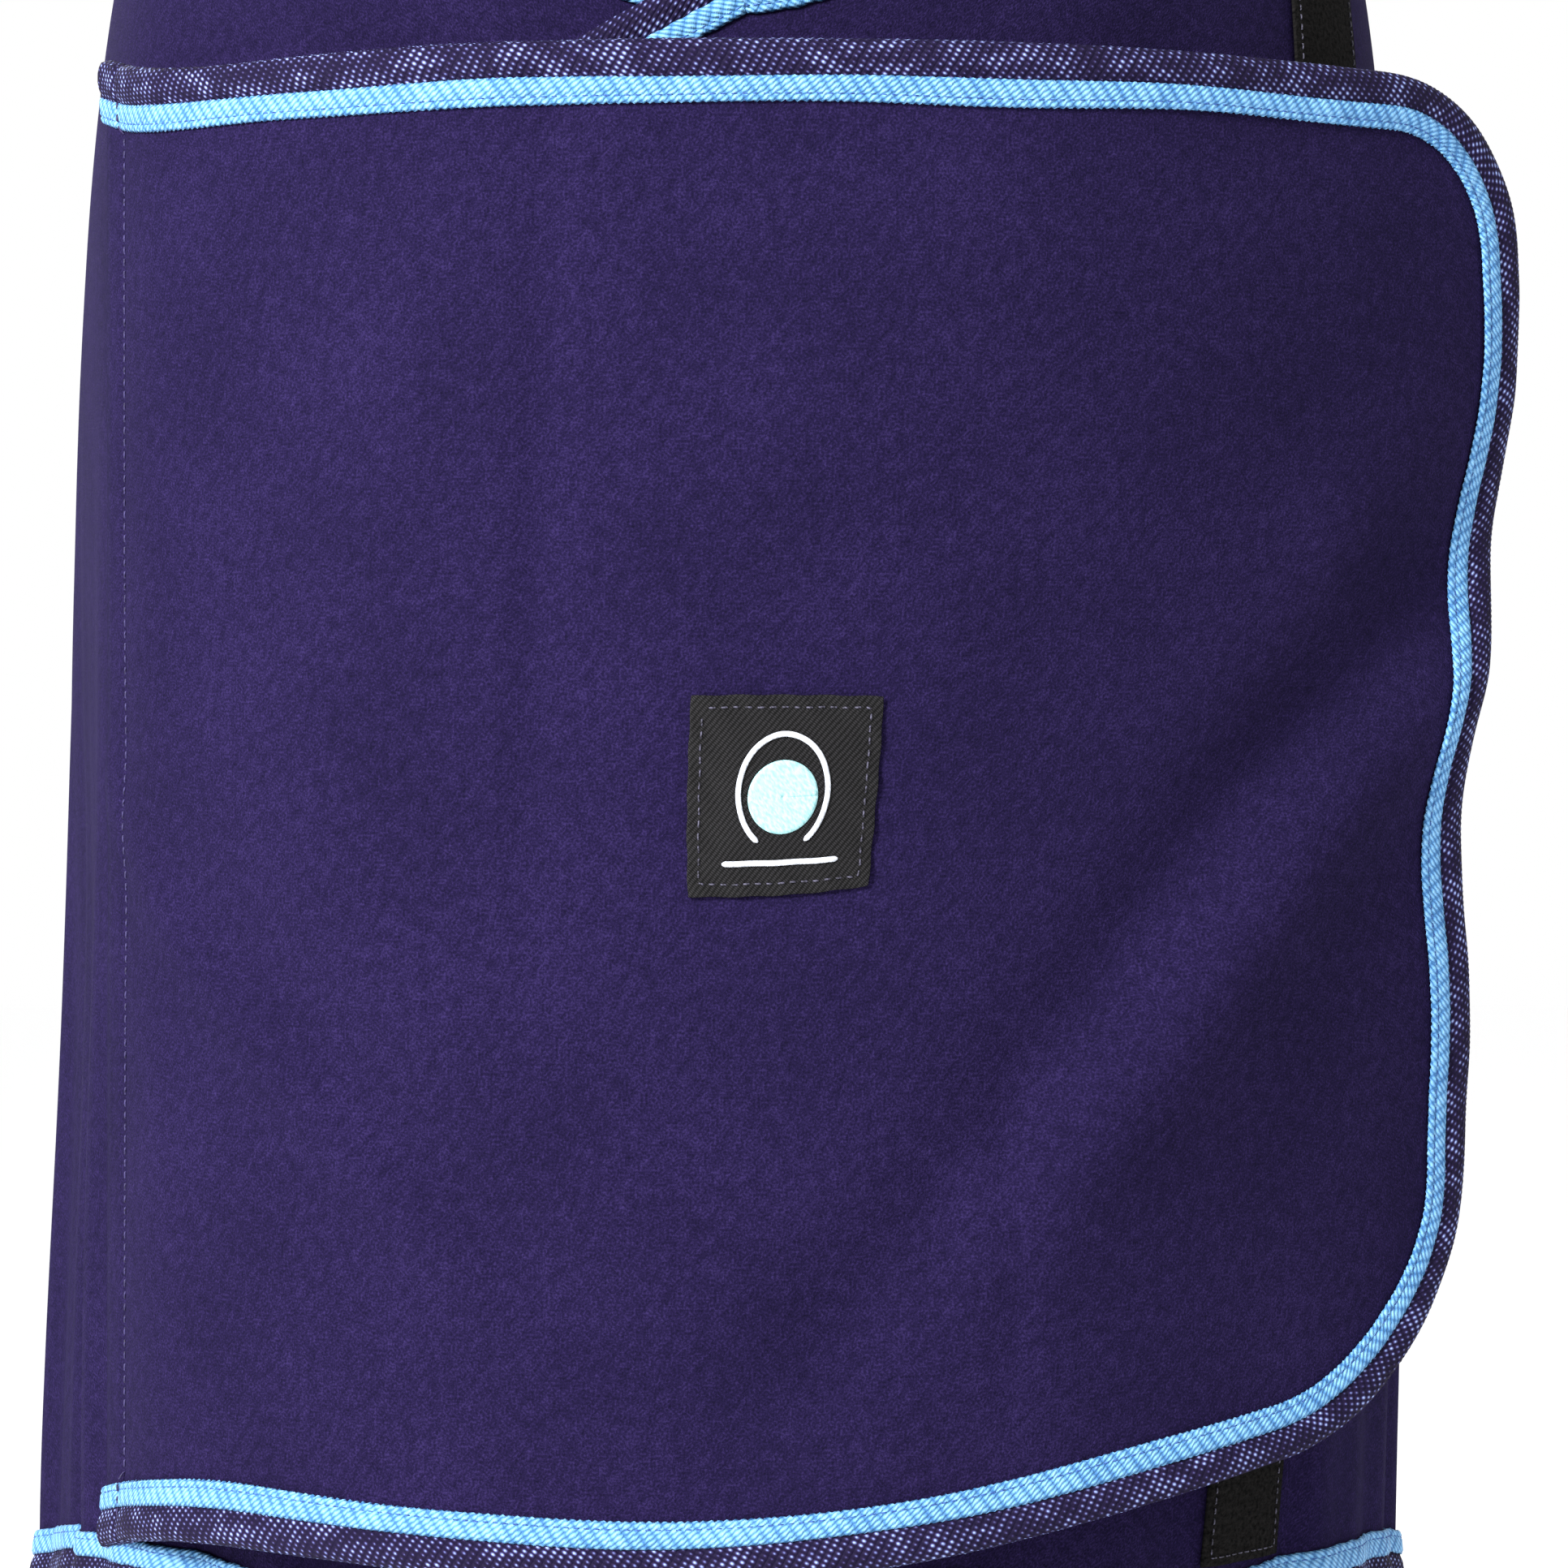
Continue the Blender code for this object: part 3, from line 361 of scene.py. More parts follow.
horse = {
    "hinge": 3.3,  # the rib where the fronts are sewn to the sides
    "withers": 5,  # the rib where the neckline meets the back seam
    "rear": 12,
    # for each rib from the chest back: top, how it leaves the top, widest place, how it rises there, hem
    "ribs": [
        ((0.000, -0.512, -0.285), (0.000, -0.006, -0.080), (0.000, -0.530, -0.550), 0.08, (0.000, -0.528, -0.832)),
        ((0.110, -0.480, -0.230), (0.010, -0.020, -0.090), (0.125, -0.506, -0.550), 0.10, (0.124, -0.504, -0.832)),
        ((0.172, -0.385, -0.172), (0.040, -0.030, -0.070), (0.210, -0.430, -0.550), 0.16, (0.209, -0.430, -0.835)),
        ((0.172, -0.262, -0.108), (0.070, -0.010, -0.060), (0.245, -0.285, -0.530), 0.20, (0.251, -0.290, -0.857)),
        ((0.118, -0.165, -0.034), (0.100, 0.000, -0.040), (0.258, -0.150, -0.500), 0.24, (0.262, -0.152, -0.892)),
        ((0.000, -0.100, 0.013), (0.150, 0.010, -0.010), (0.266, -0.020, -0.470), 0.26, (0.274, -0.010, -0.915)),
        ((0.000, 0.100, -0.011), (0.160, 0.000, 0.000), (0.283, 0.140, -0.450), 0.24, (0.287, 0.140, -0.928)),
        ((0.000, 0.370, -0.072), (0.175, 0.000, 0.000), (0.300, 0.385, -0.440), 0.22, (0.297, 0.385, -0.934)),
        ((0.000, 0.660, -0.066), (0.175, 0.000, 0.000), (0.298, 0.665, -0.430), 0.22, (0.292, 0.665, -0.940)),
        ((0.000, 0.920, -0.046), (0.170, 0.000, 0.000), (0.288, 0.920, -0.400), 0.22, (0.281, 0.920, -0.945)),
        ((0.000, 1.150, -0.084), (0.150, 0.000, 0.000), (0.268, 1.150, -0.410), 0.20, (0.262, 1.150, -0.950)),
        ((0.000, 1.325, -0.155), (0.120, 0.010, -0.005), (0.233, 1.335, -0.450), 0.18, (0.236, 1.330, -0.950)),
        ((0.000, 1.445, -0.262), (0.080, 0.020, -0.020), (0.158, 1.470, -0.500), 0.14, (0.178, 1.455, -0.945)),
    ],
}
top, leave, widest, rise, hem = (np.array([rib[i] for rib in horse["ribs"]], float) for i in range(5))
rise = rise[:, None] * np.array((0.0, 0.0, 1.0))
fall = (widest - hem) * np.array((0.0, 0.0, 1.0)) / 3
flipX = np.array((-1.0, 1.0, 1.0))


def smooth(t):
    t = np.clip(t, 0.0, 1.0)
    return t * t * (3 - 2 * t)


def bell(x, at, reach):
    return np.exp(-(((x - at) / reach) ** 2))


def unit(v):
    return v / np.maximum(np.linalg.norm(v, axis=-1, keepdims=True), 1e-12)


# Rows found between known ones
def between(x, at, rows):
    return np.stack([np.interp(x, at, rows[:, k]) for k in range(rows.shape[1])], 1)


# How far along a line of points each one lies
def lengthsOf(points):
    return np.concatenate([[0], np.cumsum(np.linalg.norm(np.diff(points, axis=0), axis=1))])


def bezier(a, b, c, d, t):
    r = 1 - t
    return a * r**3 + b * (3 * r * r * t) + c * (3 * r * t * t) + d * t**3


def through(a, b, c, d, t):
    return (b * 2 + (c - a) * t + (a * 2 - b * 5 + c * 4 - d) * t**2 + (b * 3 - a - c * 3 + d) * t**3) * 0.5


def ribPoints(v):
    t = v[None, :, None]
    high = [p[:, None] for p in (top, top + leave, widest + rise, widest)]
    low = [p[:, None] for p in (widest, widest - fall, hem + fall, hem)]
    return np.where(t < 0.5, bezier(*high, t * 2), bezier(*low, t * 2 - 1))


# The horse's left half: u counts ribs back from the chest, v runs from 0 at the top to 1 at the hem
def body(u, v):
    u, v = np.broadcast_arrays(np.asarray(u, float), np.asarray(v, float))
    shape, u, v = u.shape, u.ravel(), v.ravel()
    points = ribPoints(v)
    points = np.concatenate([points[1:2] * flipX, points, points[-1:] * 2 - points[-2:-1]])
    first = np.clip(np.floor(u), 0, horse["rear"] - 1).astype(int)
    rows = [points[first + k, np.arange(len(u))] for k in range(4)]
    nearTop = (1 - smooth(v / 0.3))[:, None]
    ahead = nearTop * 0.35 * (first == horse["withers"] - 1)[:, None]
    behind = nearTop * (first == horse["withers"])[:, None]
    rows[3] = rows[3] + (rows[1] * flipX - rows[3]) * ahead
    rows[0] = rows[0] + (rows[1] * 2 - rows[2] - rows[0]) * behind
    return through(*rows, (u - first)[:, None]).reshape(*shape, 3)


# How the cloth hangs: soft upright folds that grow towards the hem and stay away from the sewn fittings
drape = {
    "hemSag": 0.0075,  # how far the fronts' hem hangs down between lap and shoulder
    "sagAt": (0.16, 0.07),
    "lean": (0.0130, 0.0040),  # left side, right side
    "leanAt": (3.2, 1.3),
    # depth, waves in a rib, start, lean
    "folds": [(0.0046, 0.93, 0.10, 0.22), (0.0026, 2.15, 0.62, -0.30), (0.0014, 4.3, 0.20, 0.5)],
    "from": 0.30,  # the folds start this share of the way down
    "still": [(6.80, 0.55), (7.88, 0.55), (11.58, 0.5), (0.0, 1.6)],  # rib, reach
    # depth, rib, height, width, length, lean
    "shoulder": [
        (0.0050, 3.15, 0.50, 0.42, 0.10, 1.5), (-0.0042, 3.85, 0.60, 0.34, 0.13, 1.2),
        (0.0030, 4.45, 0.36, 0.30, 0.12, 1.0),
    ],
}


def folds(u, v):
    hang = smooth((v - drape["from"]) / (1 - drape["from"]))
    for at, reach in drape["still"]:
        hang = hang * (1 - bell(u, at, reach))
    total = 0.0
    for depth, often, start, lean in drape["folds"]:
        total = total + depth * np.sin(2 * math.pi * (u * often + start + lean * v))
    total = total * hang
    for depth, at, height, wide, tall, lean in drape["shoulder"]:
        across = (u - at - (v - height) * lean) / wide
        total = total + depth * np.exp(-(across**2) - ((v - height) / (tall * 3)) ** 2)
    return total


def lifted(u, v, lift, folded=1.0):
    step = 0.004  # in ribs and in shares of the fall
    across = body(u + step, v) - body(u - step, v)
    down = body(u, v + step) - body(u, v - step)
    lift = np.asarray(lift + folds(u, v) * folded)
    return body(u, v) + unit(np.cross(down, across)) * lift[..., None]


def roundTable():
    u = np.linspace(0, horse["withers"], 101)
    return u, lengthsOf(body(u, 0.5))


roundU, roundS = roundTable()


# The chest, s metres round from its middle line and at height z
def chest(s, z, lift):
    s, z, lift = np.broadcast_arrays(s, z, lift)
    u = np.interp(np.abs(s), roundS, roundU)
    low, high = np.full(s.shape, -0.12), np.full(s.shape, 1.12)
    for _ in range(20):
        v = (low + high) / 2
        above = body(u, v)[..., 2] > z
        low, high = np.where(above, v, low), np.where(above, high, v)
    p = lifted(u, v, lift)
    p[..., 0] *= np.where(s < 0, -1, 1)
    return p


def neckHeight(s):
    if s <= 0:
        return top[0][2] + s * fronts["neckSlope"]
    return float(body(np.interp(s, roundS, roundU), 0.0)[2])


def hemHeight(s):
    sag = drape["hemSag"] * bell(abs(s), *drape["sagAt"])
    return float(body(np.interp(abs(s), roundS, roundU), 1.0)[2]) - sag


# meshes

def meshFrom(name, points, faces, uv, material):
    mesh = bpy.data.meshes.new(name)
    mesh.from_pydata(points.tolist(), [], faces.tolist())
    corners = np.zeros(len(mesh.loops), np.int32)
    mesh.loops.foreach_get("vertex_index", corners)
    mesh.uv_layers.new(name="cloth").data.foreach_set("uv", uv[corners].astype(np.float32).ravel())
    mesh.materials.append(finishes[material])
    mesh.shade_smooth()
    return inScene(name, mesh)


def gridFaces(rows, across, closed=False):
    i, j = np.meshgrid(np.arange(rows - 1), np.arange(across if closed else across - 1), indexing="ij")
    i, j = i.ravel(), j.ravel()
    after = (j + 1) % across
    return np.stack([i * across + j, (i + 1) * across + j, (i + 1) * across + after, i * across + after], 1)


def flatPlaces(points):
    along = np.linalg.norm(np.diff(points, axis=0), axis=2).mean(1)
    across = np.linalg.norm(np.diff(points, axis=1), axis=2)
    u = np.concatenate([[0], np.cumsum(along)])
    v = np.concatenate([np.zeros((len(points), 1)), np.cumsum(across, axis=1)], axis=1)
    return np.stack([np.broadcast_to(u[:, None], v.shape), v], 2)


# A sheet through a grid of points, with its thickness even on both sides
def cloth(name, points, thickness, material, uv=None):
    rows, across = points.shape[:2]
    uv = flatPlaces(points) if uv is None else uv
    obj = meshFrom(name, points.reshape(-1, 3), gridFaces(rows, across), uv.reshape(-1, 2), material)
    solid = obj.modifiers.new("thickness", "SOLIDIFY")
    solid.thickness = thickness
    solid.offset = 0.0
    return obj


def easeEdges(obj, width, degrees, segments=2):
    bevel = obj.modifiers.new("soft edge", "BEVEL")
    bevel.width, bevel.segments, bevel.limit_method = width, segments, "ANGLE"
    bevel.angle_limit = math.radians(degrees)
    return bevel


# outlines and the tapes sewn along them

def rounded(corners, steps=14):
    path = []
    for i, (x, y, radius) in enumerate(corners):
        here = np.array((x, y))
        if not radius:
            path.append(here)
            continue
        back = unit(np.array(corners[i - 1][:2]) - here)
        ahead = unit(np.array(corners[i + 1][:2]) - here)
        half = math.acos(np.clip(back @ ahead, -1, 1)) / 2
        centre = here + unit(back + ahead) * (radius / math.sin(half))
        start = here + back * (radius / math.tan(half)) - centre
        end = here + ahead * (radius / math.tan(half)) - centre
        turn = math.atan2(start[0] * end[1] - start[1] * end[0], start @ end)
        for k in range(steps + 1):
            c, n = math.cos(turn * k / steps), math.sin(turn * k / steps)
            path.append(centre + np.array((c * start[0] - n * start[1], n * start[0] + c * start[1])))
    return np.array(path)


def resampled(path, pitch):
    lengths = lengthsOf(path)
    at = np.linspace(0, lengths[-1], max(2, round(lengths[-1] / pitch)) + 1)
    return between(at, lengths, path), at


# A bound edge on a chart: its places, the way in from it for each, and how far along it each is
def boundEdge(path, flip, pitch=0.004, squareFor=0.045):
    places, at = resampled(path, pitch)
    along = np.gradient(places, axis=0)
    ways = unit(np.stack([along[:, 1], -along[:, 0]], 1)) * flip
    for end, i in ((at, 0), (at[-1] - at, -1)):
        share = smooth(1 - end / squareFor)[:, None]
        square = np.array((0.0, 1 / ways[i][1]))
        ways = ways + (square - ways) * share
    return {"places": places, "ways": ways, "at": at}


# A line of sewing that stays where it is put
def sewnLine(places, at):
    return {"places": places, "ways": places * 0, "at": at}


def edgePoints(edge, chart, inward, lift):
    places = edge["places"][:, None] + edge["ways"][:, None] * inward[..., None]
    return chart(places[..., 0], places[..., 1], lift)


tapes = {
    "fleece": 0.003,
    "thickness": 0.0009,
    "width": 0.0125,  # folded in half over the edge
    "roll": 0.0024,  # how far the binding puffs up over the cloth's edge
    # inward, share of the roll
    "bindingSection": [
        (1.00, -0.10), (0.93, 0.10), (0.82, 0.34), (0.66, 0.78), (0.48, 1.00), (0.28, 1.00), (0.12, 0.80), (0.00, 0.44),
        (-0.07, 0.06),
    ],
    "trimRoom": 0.0075,  # the light tape takes this much inside the binding
    # inward from the binding, lift
    "trimSection": [
        (-0.0008, 0.0034), (0.0005, 0.0039), (0.0024, 0.0037), (0.0043, 0.0035), (0.0051, 0.0030), (0.0059, 0.0033),
        (0.0067, 0.0030), (0.0072, 0.0022),
    ],
    "stitch": (0.0024, 0.0010, 0.00026),  # length, gap, radius
    "stitchIn": 0.0051,
    "seamLift": 0.0019,
    "selvedge": (0.00032, 0.0026),  # the weft's loops along the tape's edge: how deep, how often
}


def slowWave(at, seed, pitch):
    draw = np.random.default_rng(seed)
    total = 0.0
    for k in range(4):
        total = total + np.sin(2 * math.pi * (at / (pitch * (1 + 0.61 * k)) + draw.random())) / (1 + k)
    return total / 2


def bindingWidth(at, seed):
    return tapes["width"] * (1 + 0.05 * slowWave(at, seed, 0.11))


def trimShare(at, seed):
    return 1 + 0.10 * slowWave(at, seed + 2, 0.16)


def binding(name, edge, chart, seed):
    at, half = edge["at"], tapes["fleece"] / 2 + tapes["thickness"] / 2 + 0.0004
    wide = bindingWidth(at, seed)
    roll = tapes["roll"] * (1 + 0.22 * slowWave(at, seed + 1, 0.035))
    section = np.array(tapes["bindingSection"])
    deep, often = tapes["selvedge"]
    cord = deep * 0.5 * np.sin(2 * math.pi * at / (often * 0.8))
    inward = wide[:, None] * section[:, 0] + cord[:, None] * (section[:, 0] < 0.05)
    lift = half + roll[:, None] * section[:, 1] - (half + roll[:, None] * 0.5) * (section[:, 0] < 0) * 0.55
    inward = np.concatenate([inward, inward[:, ::-1]], 1)
    lift = np.concatenate([lift, -(lift[:, ::-1] - roll[:, None] * 0.5 * (section[::-1, 0] > 0) * section[::-1, 1])], 1)
    return cloth(name, edgePoints(edge, chart, inward, lift), tapes["thickness"], "binding")


def trim(name, edge, chart, seed):
    at = edge["at"]
    section = np.array(tapes["trimSection"])
    start = bindingWidth(at, seed) - 0.0004
    inward = start[:, None] + section[:, 0] * trimShare(at, seed)[:, None]
    deep, often = tapes["selvedge"]
    loops = deep * np.sin(2 * math.pi * at / often + slowWave(at, seed + 4, 0.03))
    inward[:, -1] += loops
    inward[:, -2] += loops * 0.6
    inward[:, 0] += loops * 0.7
    lift = section[:, 1] + 0.00012 * slowWave(at, seed + 3, 0.02)[:, None]
    return cloth(name, edgePoints(edge, chart, inward, lift), tapes["thickness"], "trim")


# Each stitch is a short bead of thread that dives into the cloth at both ends
def threadBeads(name, starts, ends, normals, material, radius):
    sides, dive = 6, 0.0004
    t = np.array((0.0, 0.14, 0.5, 0.86, 1.0))
    height = np.array((-1.0, 0.35, 0.6, 0.35, -1.0)) * dive
    swell = np.array((0.02, 1.0, 1.0, 1.0, 0.02)) * radius
    middle = starts[:, None] + (ends - starts)[:, None] * t[None, :, None] + normals[:, None] * height[None, :, None]
    side = unit(np.cross(ends - starts, normals))
    turn = 2 * math.pi * np.arange(sides) / sides
    ring = side[:, None, None] * np.cos(turn)[None, None, :, None]
    ring = ring + normals[:, None, None] * np.sin(turn)[None, None, :, None]
    points = middle[:, :, None] + ring * swell[None, :, None, None]
    count, rings = len(starts), len(t)
    tube = gridFaces(rings, sides, closed=True)
    faces = (tube[None] + (np.arange(count) * rings * sides)[:, None, None]).reshape(-1, 4)
    down = (t * 0.003)[None, :, None] + np.arange(count)[:, None, None] * 0.0037
    uv = np.stack(np.broadcast_arrays(down, (turn * radius)[None, None]), -1)
    return meshFrom(name, points.reshape(-1, 3), faces, uv.reshape(-1, 2), material)


def stitches(name, edge, chart, inward, lift, material="navyThread", size=None):
    length, gap, radius = size or tapes["stitch"]
    at = edge["at"]
    starts = np.arange(0.002, at[-1] - length - 0.001, length + gap)
    found = []
    for along in (starts, starts + length):
        deep = np.interp(along, at, np.broadcast_to(inward, at.shape))
        place = between(along, at, edge["places"]) + between(along, at, edge["ways"]) * deep[:, None]
        rise = np.interp(along, at, np.broadcast_to(lift, at.shape))
        found += [chart(place[:, 0], place[:, 1], rise), chart(place[:, 0], place[:, 1], rise + 0.001)]
    normals = unit(found[1] - found[0] + found[3] - found[2])
    return threadBeads(name, found[0], found[2], normals, material, radius)


def tapeEdge(name, edge, chart, seed):
    made = [binding(name + "Binding", edge, chart, seed), trim(name + "Trim", edge, chart, seed)]
    at = edge["at"]
    inward = bindingWidth(at, seed) - 0.0004 + tapes["stitchIn"] * trimShare(at, seed)
    made.append(stitches(name + "Stitching", edge, chart, inward, 0.0033, "blueThread"))
    return made


# Each piece is attached to its body, or has its place baked into its mesh where a blend is given, and the imported node
# it stands for, if it has one, is hidden
def finishPiece(objs, nodes, slots, body=None, blend=None):
    for i, (obj, slot) in enumerate(zip(objs, slots)):
        if blend:
            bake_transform(obj)
        else:
            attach(obj, body)
        if i < len(nodes) and nodes[i]:
            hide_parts(nodes[i])


# A panel with its binding, its light tape, the tape's stitching and its seam
def finishPanel(objs, stem, panel="", body=None, blend=None):
    nodes = [stem + panel, stem + "_binding", stem + "_trim"]
    finishPiece(objs, nodes, ["fleece", "binding", "trim", "trim", "fleece"], body, blend)


# the two sides

sides = {
    "columns": 300,
    "rows": 120,
    "neckEnds": 4.93,  # in ribs
    "rearFrom": 0.2,  # the rear edge's tapes start this share of the way down
    "tapePitch": (0.0040, 0.0045),  # neck, hem
    "shoulderStitching": 0.03,
    "backStitching": (5.25, 11.9, 0.018),  # from rib, to rib, share down
    "corner": 0.026,  # the tapes turn this far from the rear corner
    "seamRise": 0.0007,
    "flat": (1.86, 1.14),
    "area": 1.80,
}


# The rug hangs a little to its right side at the shoulders
def leant(p, side, u):
    p[..., 0] = side * p[..., 0]
    by = drape["lean"][0 if side > 0 else 1]
    p[..., 0] -= by * smooth((-0.55 - p[..., 2]) / 0.33) * bell(u, *drape["leanAt"])
    return p


def sideChart(side):
    def place(u, v, lift):
        return leant(lifted(u, v, lift), side, u)

    return place


def sideEdge(us, vs, du, dv):
    step = 0.002
    here = body(us, vs)
    back = (body(us - step, vs) - here) / step
    up = (body(us, vs - step) - here) / step
    square = np.linalg.norm(np.cross(back, up), axis=1)
    longBack, longUp = np.linalg.norm(back, axis=1), np.linalg.norm(up, axis=1)
    plain = (du == 0) | (dv == 0)
    across = np.where(plain, du * longUp / square, du / longBack)
    down = np.where(plain, dv * longBack / square, dv / longUp)
    return {"places": np.stack([us, vs], 1), "ways": np.stack([across, down], 1), "at": lengthsOf(here)}


def evenly(function, first, last, pitch):
    fine = np.linspace(first, last, 1200)
    lengths = lengthsOf(function(fine))
    at = np.linspace(0, lengths[-1], round(lengths[-1] / pitch) + 1)
    return np.interp(at, lengths, fine), at


def neckEdge():
    us, _ = evenly(lambda u: body(u, 0.0), horse["hinge"], sides["neckEnds"], sides["tapePitch"][0])
    return sideEdge(us, us * 0, us * 0, us * 0 + 1)


def hemEdge():
    us, at = evenly(lambda u: body(u, 1.0), horse["hinge"], horse["rear"], sides["tapePitch"][1])
    turn = np.clip(1 - (at[-1] - at) / sides["corner"], 0, 1)
    vs, far = evenly(lambda v: body(horse["rear"], v), 1.0, sides["rearFrom"], sides["tapePitch"][1])
    turnUp = np.clip(1 - far / sides["corner"], 0, 1)
    return sideEdge(
        np.concatenate([us, vs[1:] * 0 + horse["rear"]]),
        np.concatenate([us * 0 + 1, vs[1:]]),
        np.concatenate([-turn, vs[1:] * 0 - 1]),
        np.concatenate([us * 0 - 1, -turnUp[1:]]),
    )


def seamLine(us, vs):
    return sewnLine(np.stack([us, vs], 1), lengthsOf(body(us, vs)))


def makeSide(side, word):
    chart = sideChart(side)
    us = np.linspace(horse["hinge"] + 0.002, horse["rear"], sides["columns"])
    vs = np.linspace(0, 1, sides["rows"])
    u, v = np.meshgrid(us, vs, indexing="ij")
    seam = sides["seamRise"] * bell(u, horse["hinge"], 0.02)
    points = chart(u, v, seam)
    points[us >= horse["withers"], 0, 0] = side * 0.0006
    made = [cloth("side" + word, points, tapes["fleece"], "fleece")]
    made += tapeEdge("neck" + word, neckEdge(), chart, 11 + side)
    made += tapeEdge("hem" + word, hemEdge(), chart, 21 + side)
    vs = np.linspace(0.035, 0.965, 200)
    line = seamLine(vs * 0 + horse["hinge"] + sides["shoulderStitching"], vs)
    made.append(stitches("shoulderSeam" + word, line, chart, 0.0, tapes["seamLift"]))
    first, last, down = sides["backStitching"]
    us = np.linspace(first, last, 500)
    made.append(stitches("backSeam" + word, seamLine(us, us * 0 + down), chart, 0.0, tapes["seamLift"]))
    low = word.lower()
    nodes = ["side_" + low, f"neck_{low}_binding", f"neck_{low}_trim", None, f"hem_{low}_binding", f"hem_{low}_trim"]
    slots = ["fleece", "binding", "trim", "trim", "binding", "trim", "trim", "fleece", "fleece"]
    finishPiece(made, nodes, slots, "rug")
    return made


sidePieces = {word: makeSide(side, word) for side, word in ((1, "Left"), (-1, "Right"))}
print("sides made")


# tape inside the back seam

def makeSpineTape():
    us, _ = evenly(lambda u: body(u, 0.0), horse["withers"] + 0.5, horse["rear"] - 0.17, 0.008)
    lift = -(tapes["fleece"] / 2 + 0.0025)
    middle = lifted(us, us * 0, lift)
    edge = lifted(us, us * 0 + 0.045, lift)
    rows = []
    for share in np.linspace(-1, 1, 9):
        p = middle + (edge - middle) * abs(share)
        p[:, 0] = share * 0.0125
        rows.append(p)
    obj = cloth("spineTape", np.stack(rows, 1), 0.001, "binding")
    finishPiece([obj], ["spine_tape"], ["binding"], "rug")


makeSpineTape()


# the flap that is sewn over the chest

flap = {
    "width": 0.566,
    "height": 0.490,
    "top": -0.318,
    "topCorner": 0.060,
    "lowCorner": 0.090,
    "slant": 0.045,  # the low end is this share narrower
    "hemRise": 0.038,  # the hem climbs this much towards the free edge
    "column": 0.0045,
    "rows": 130,
    "stripFrom": 0.008,  # the hook strip stays this far from the tapes
    "seamStitch": (0.0030, 0.0010, 0.0004),
    # seen from above, from its seam to its free edge
    "plan": [
        (-0.2172, -0.4275), (-0.1925, -0.4745), (-0.1525, -0.5125), (-0.1000, -0.5415), (-0.0400, -0.5545),
        (0.0200, -0.5565), (0.0800, -0.5500), (0.1400, -0.5315), (0.1900, -0.5030), (0.2340, -0.4700),
        (0.2720, -0.4320),
    ],
    "stripSize": (0.040, 0.40),
    "dip": 0.0045,  # the hem sags this far near the middle
    "turning": 0.0175,  # the seam allowance that is stitched down beside the sewn edge
    "bendTo": (-0.2010, -0.4583, -0.559),
    "hinge": (-0.2172, -0.4275, -0.559),
    # soft folds: depth, across, down, half width, half length, lean of its line
    "folds": [
        (0.0120, 0.83, 0.60, 0.050, 0.34, 0.95), (-0.0115, 0.68, 0.70, 0.050, 0.30, 0.80),
        (0.0050, 0.47, 0.84, 0.050, 0.24, -0.95), (-0.0040, 0.30, 0.74, 0.060, 0.28, -1.10),
        (0.0045, 0.86, 0.36, 0.060, 0.26, 0.55), (-0.0030, 0.18, 0.30, 0.080, 0.34, 0.2),
        (0.0036, 0.52, 0.28, 0.080, 0.30, 0.7), (-0.0026, 0.37, 0.30, 0.013, 0.26, 0.02),
        (-0.0022, 0.655, 0.80, 0.012, 0.10, 0.05), (0.0045, 0.24, 0.72, 0.024, 0.30, -1.0),
    ],
    "edgeWave": (0.0045, 1.9, 0.08),  # depth, waves down the free edge, start
    # how the free edge sways in and out: by, at what share of the way down, over what share
    "sway": [(0.0125, 0.25, 0.12), (-0.0150, 0.57, 0.12), (0.0040, 0.86, 0.07)],
    "upright": (0.052, 0.100),  # the sewn edge is stretched this share taller, over this width
}


def planTable():
    points = np.array([(*p, 0.0) for p in flap["plan"]])
    at = np.linspace(0, len(points) - 1, 401)
    return points, at, lengthsOf(planPoint(points, at))


def planPoint(points, at):
    i = np.clip(np.floor(at), 0, len(points) - 2).astype(int)
    padded = np.concatenate([points[:1] * 2 - points[1:2], points, points[-1:] * 2 - points[-2:-1]])
    return through(padded[i], padded[i + 1], padded[i + 2], padded[i + 3], (at - i)[..., None])


planPoints, planAt, planS = planTable()


def flapFolds(share, down):
    total = 0.0
    for depth, across, at, wide, long, lean in flap["folds"]:
        x, y = share - across, down - at
        length = math.hypot(1, lean)
        off, along = (x * 1 + y * lean) / length, (y - x * lean) / length
        total = total + depth * np.exp(-((off / wide) ** 2) - (along / long) ** 2)
    depth, waves, start = flap["edgeWave"]
    free = smooth((share - 0.62) / 0.38)
    total = total + depth * free * np.sin(2 * math.pi * (down * waves + start))
    return total - 0.0011 * bell(share * flap["width"], flap["turning"], 0.0026)


def flapChart(s, z, lift):
    s, z, lift = np.broadcast_arrays(np.asarray(s, float), z, lift)
    down = (flap["top"] - z) / flap["height"]
    share = s / flap["width"]
    fold = flapFolds(share, down)
    s = s * (1 - flap["slant"] * down * share)
    for by, where, over in flap["sway"]:
        s = s + by * smooth((share - 0.35) / 0.65) * bell(down, where, over)
    taller, reach = flap["upright"]
    middle = flap["top"] - flap["height"] / 2
    z = z + (z - middle) * taller * np.clip(1 - s / reach, 0, 1) ** 2
    z = z + flap["hemRise"] * down * smooth((share - 0.5) / 0.5)
    z = z - flap["dip"] * down**2 * bell(share, 0.42, 0.13)
    at = np.interp(s, planS, planAt)
    at = np.where(s < 0, s / 0.053, at)
    place = planPoint(planPoints, at)
    along = planPoint(planPoints, at + 0.02) - planPoint(planPoints, at - 0.02)
    out = unit(np.cross(along, np.array((0.0, 0.0, 1.0))))
    p = place + out * (lift + fold)[..., None]
    p[..., 2] = z
    return p


def flapStripAt():
    s = flap["width"] - tapes["width"] - tapes["trimRoom"] - flap["stripSize"][0] / 2 - flap["stripFrom"]
    return s, flap["top"] - flap["height"] * 0.48


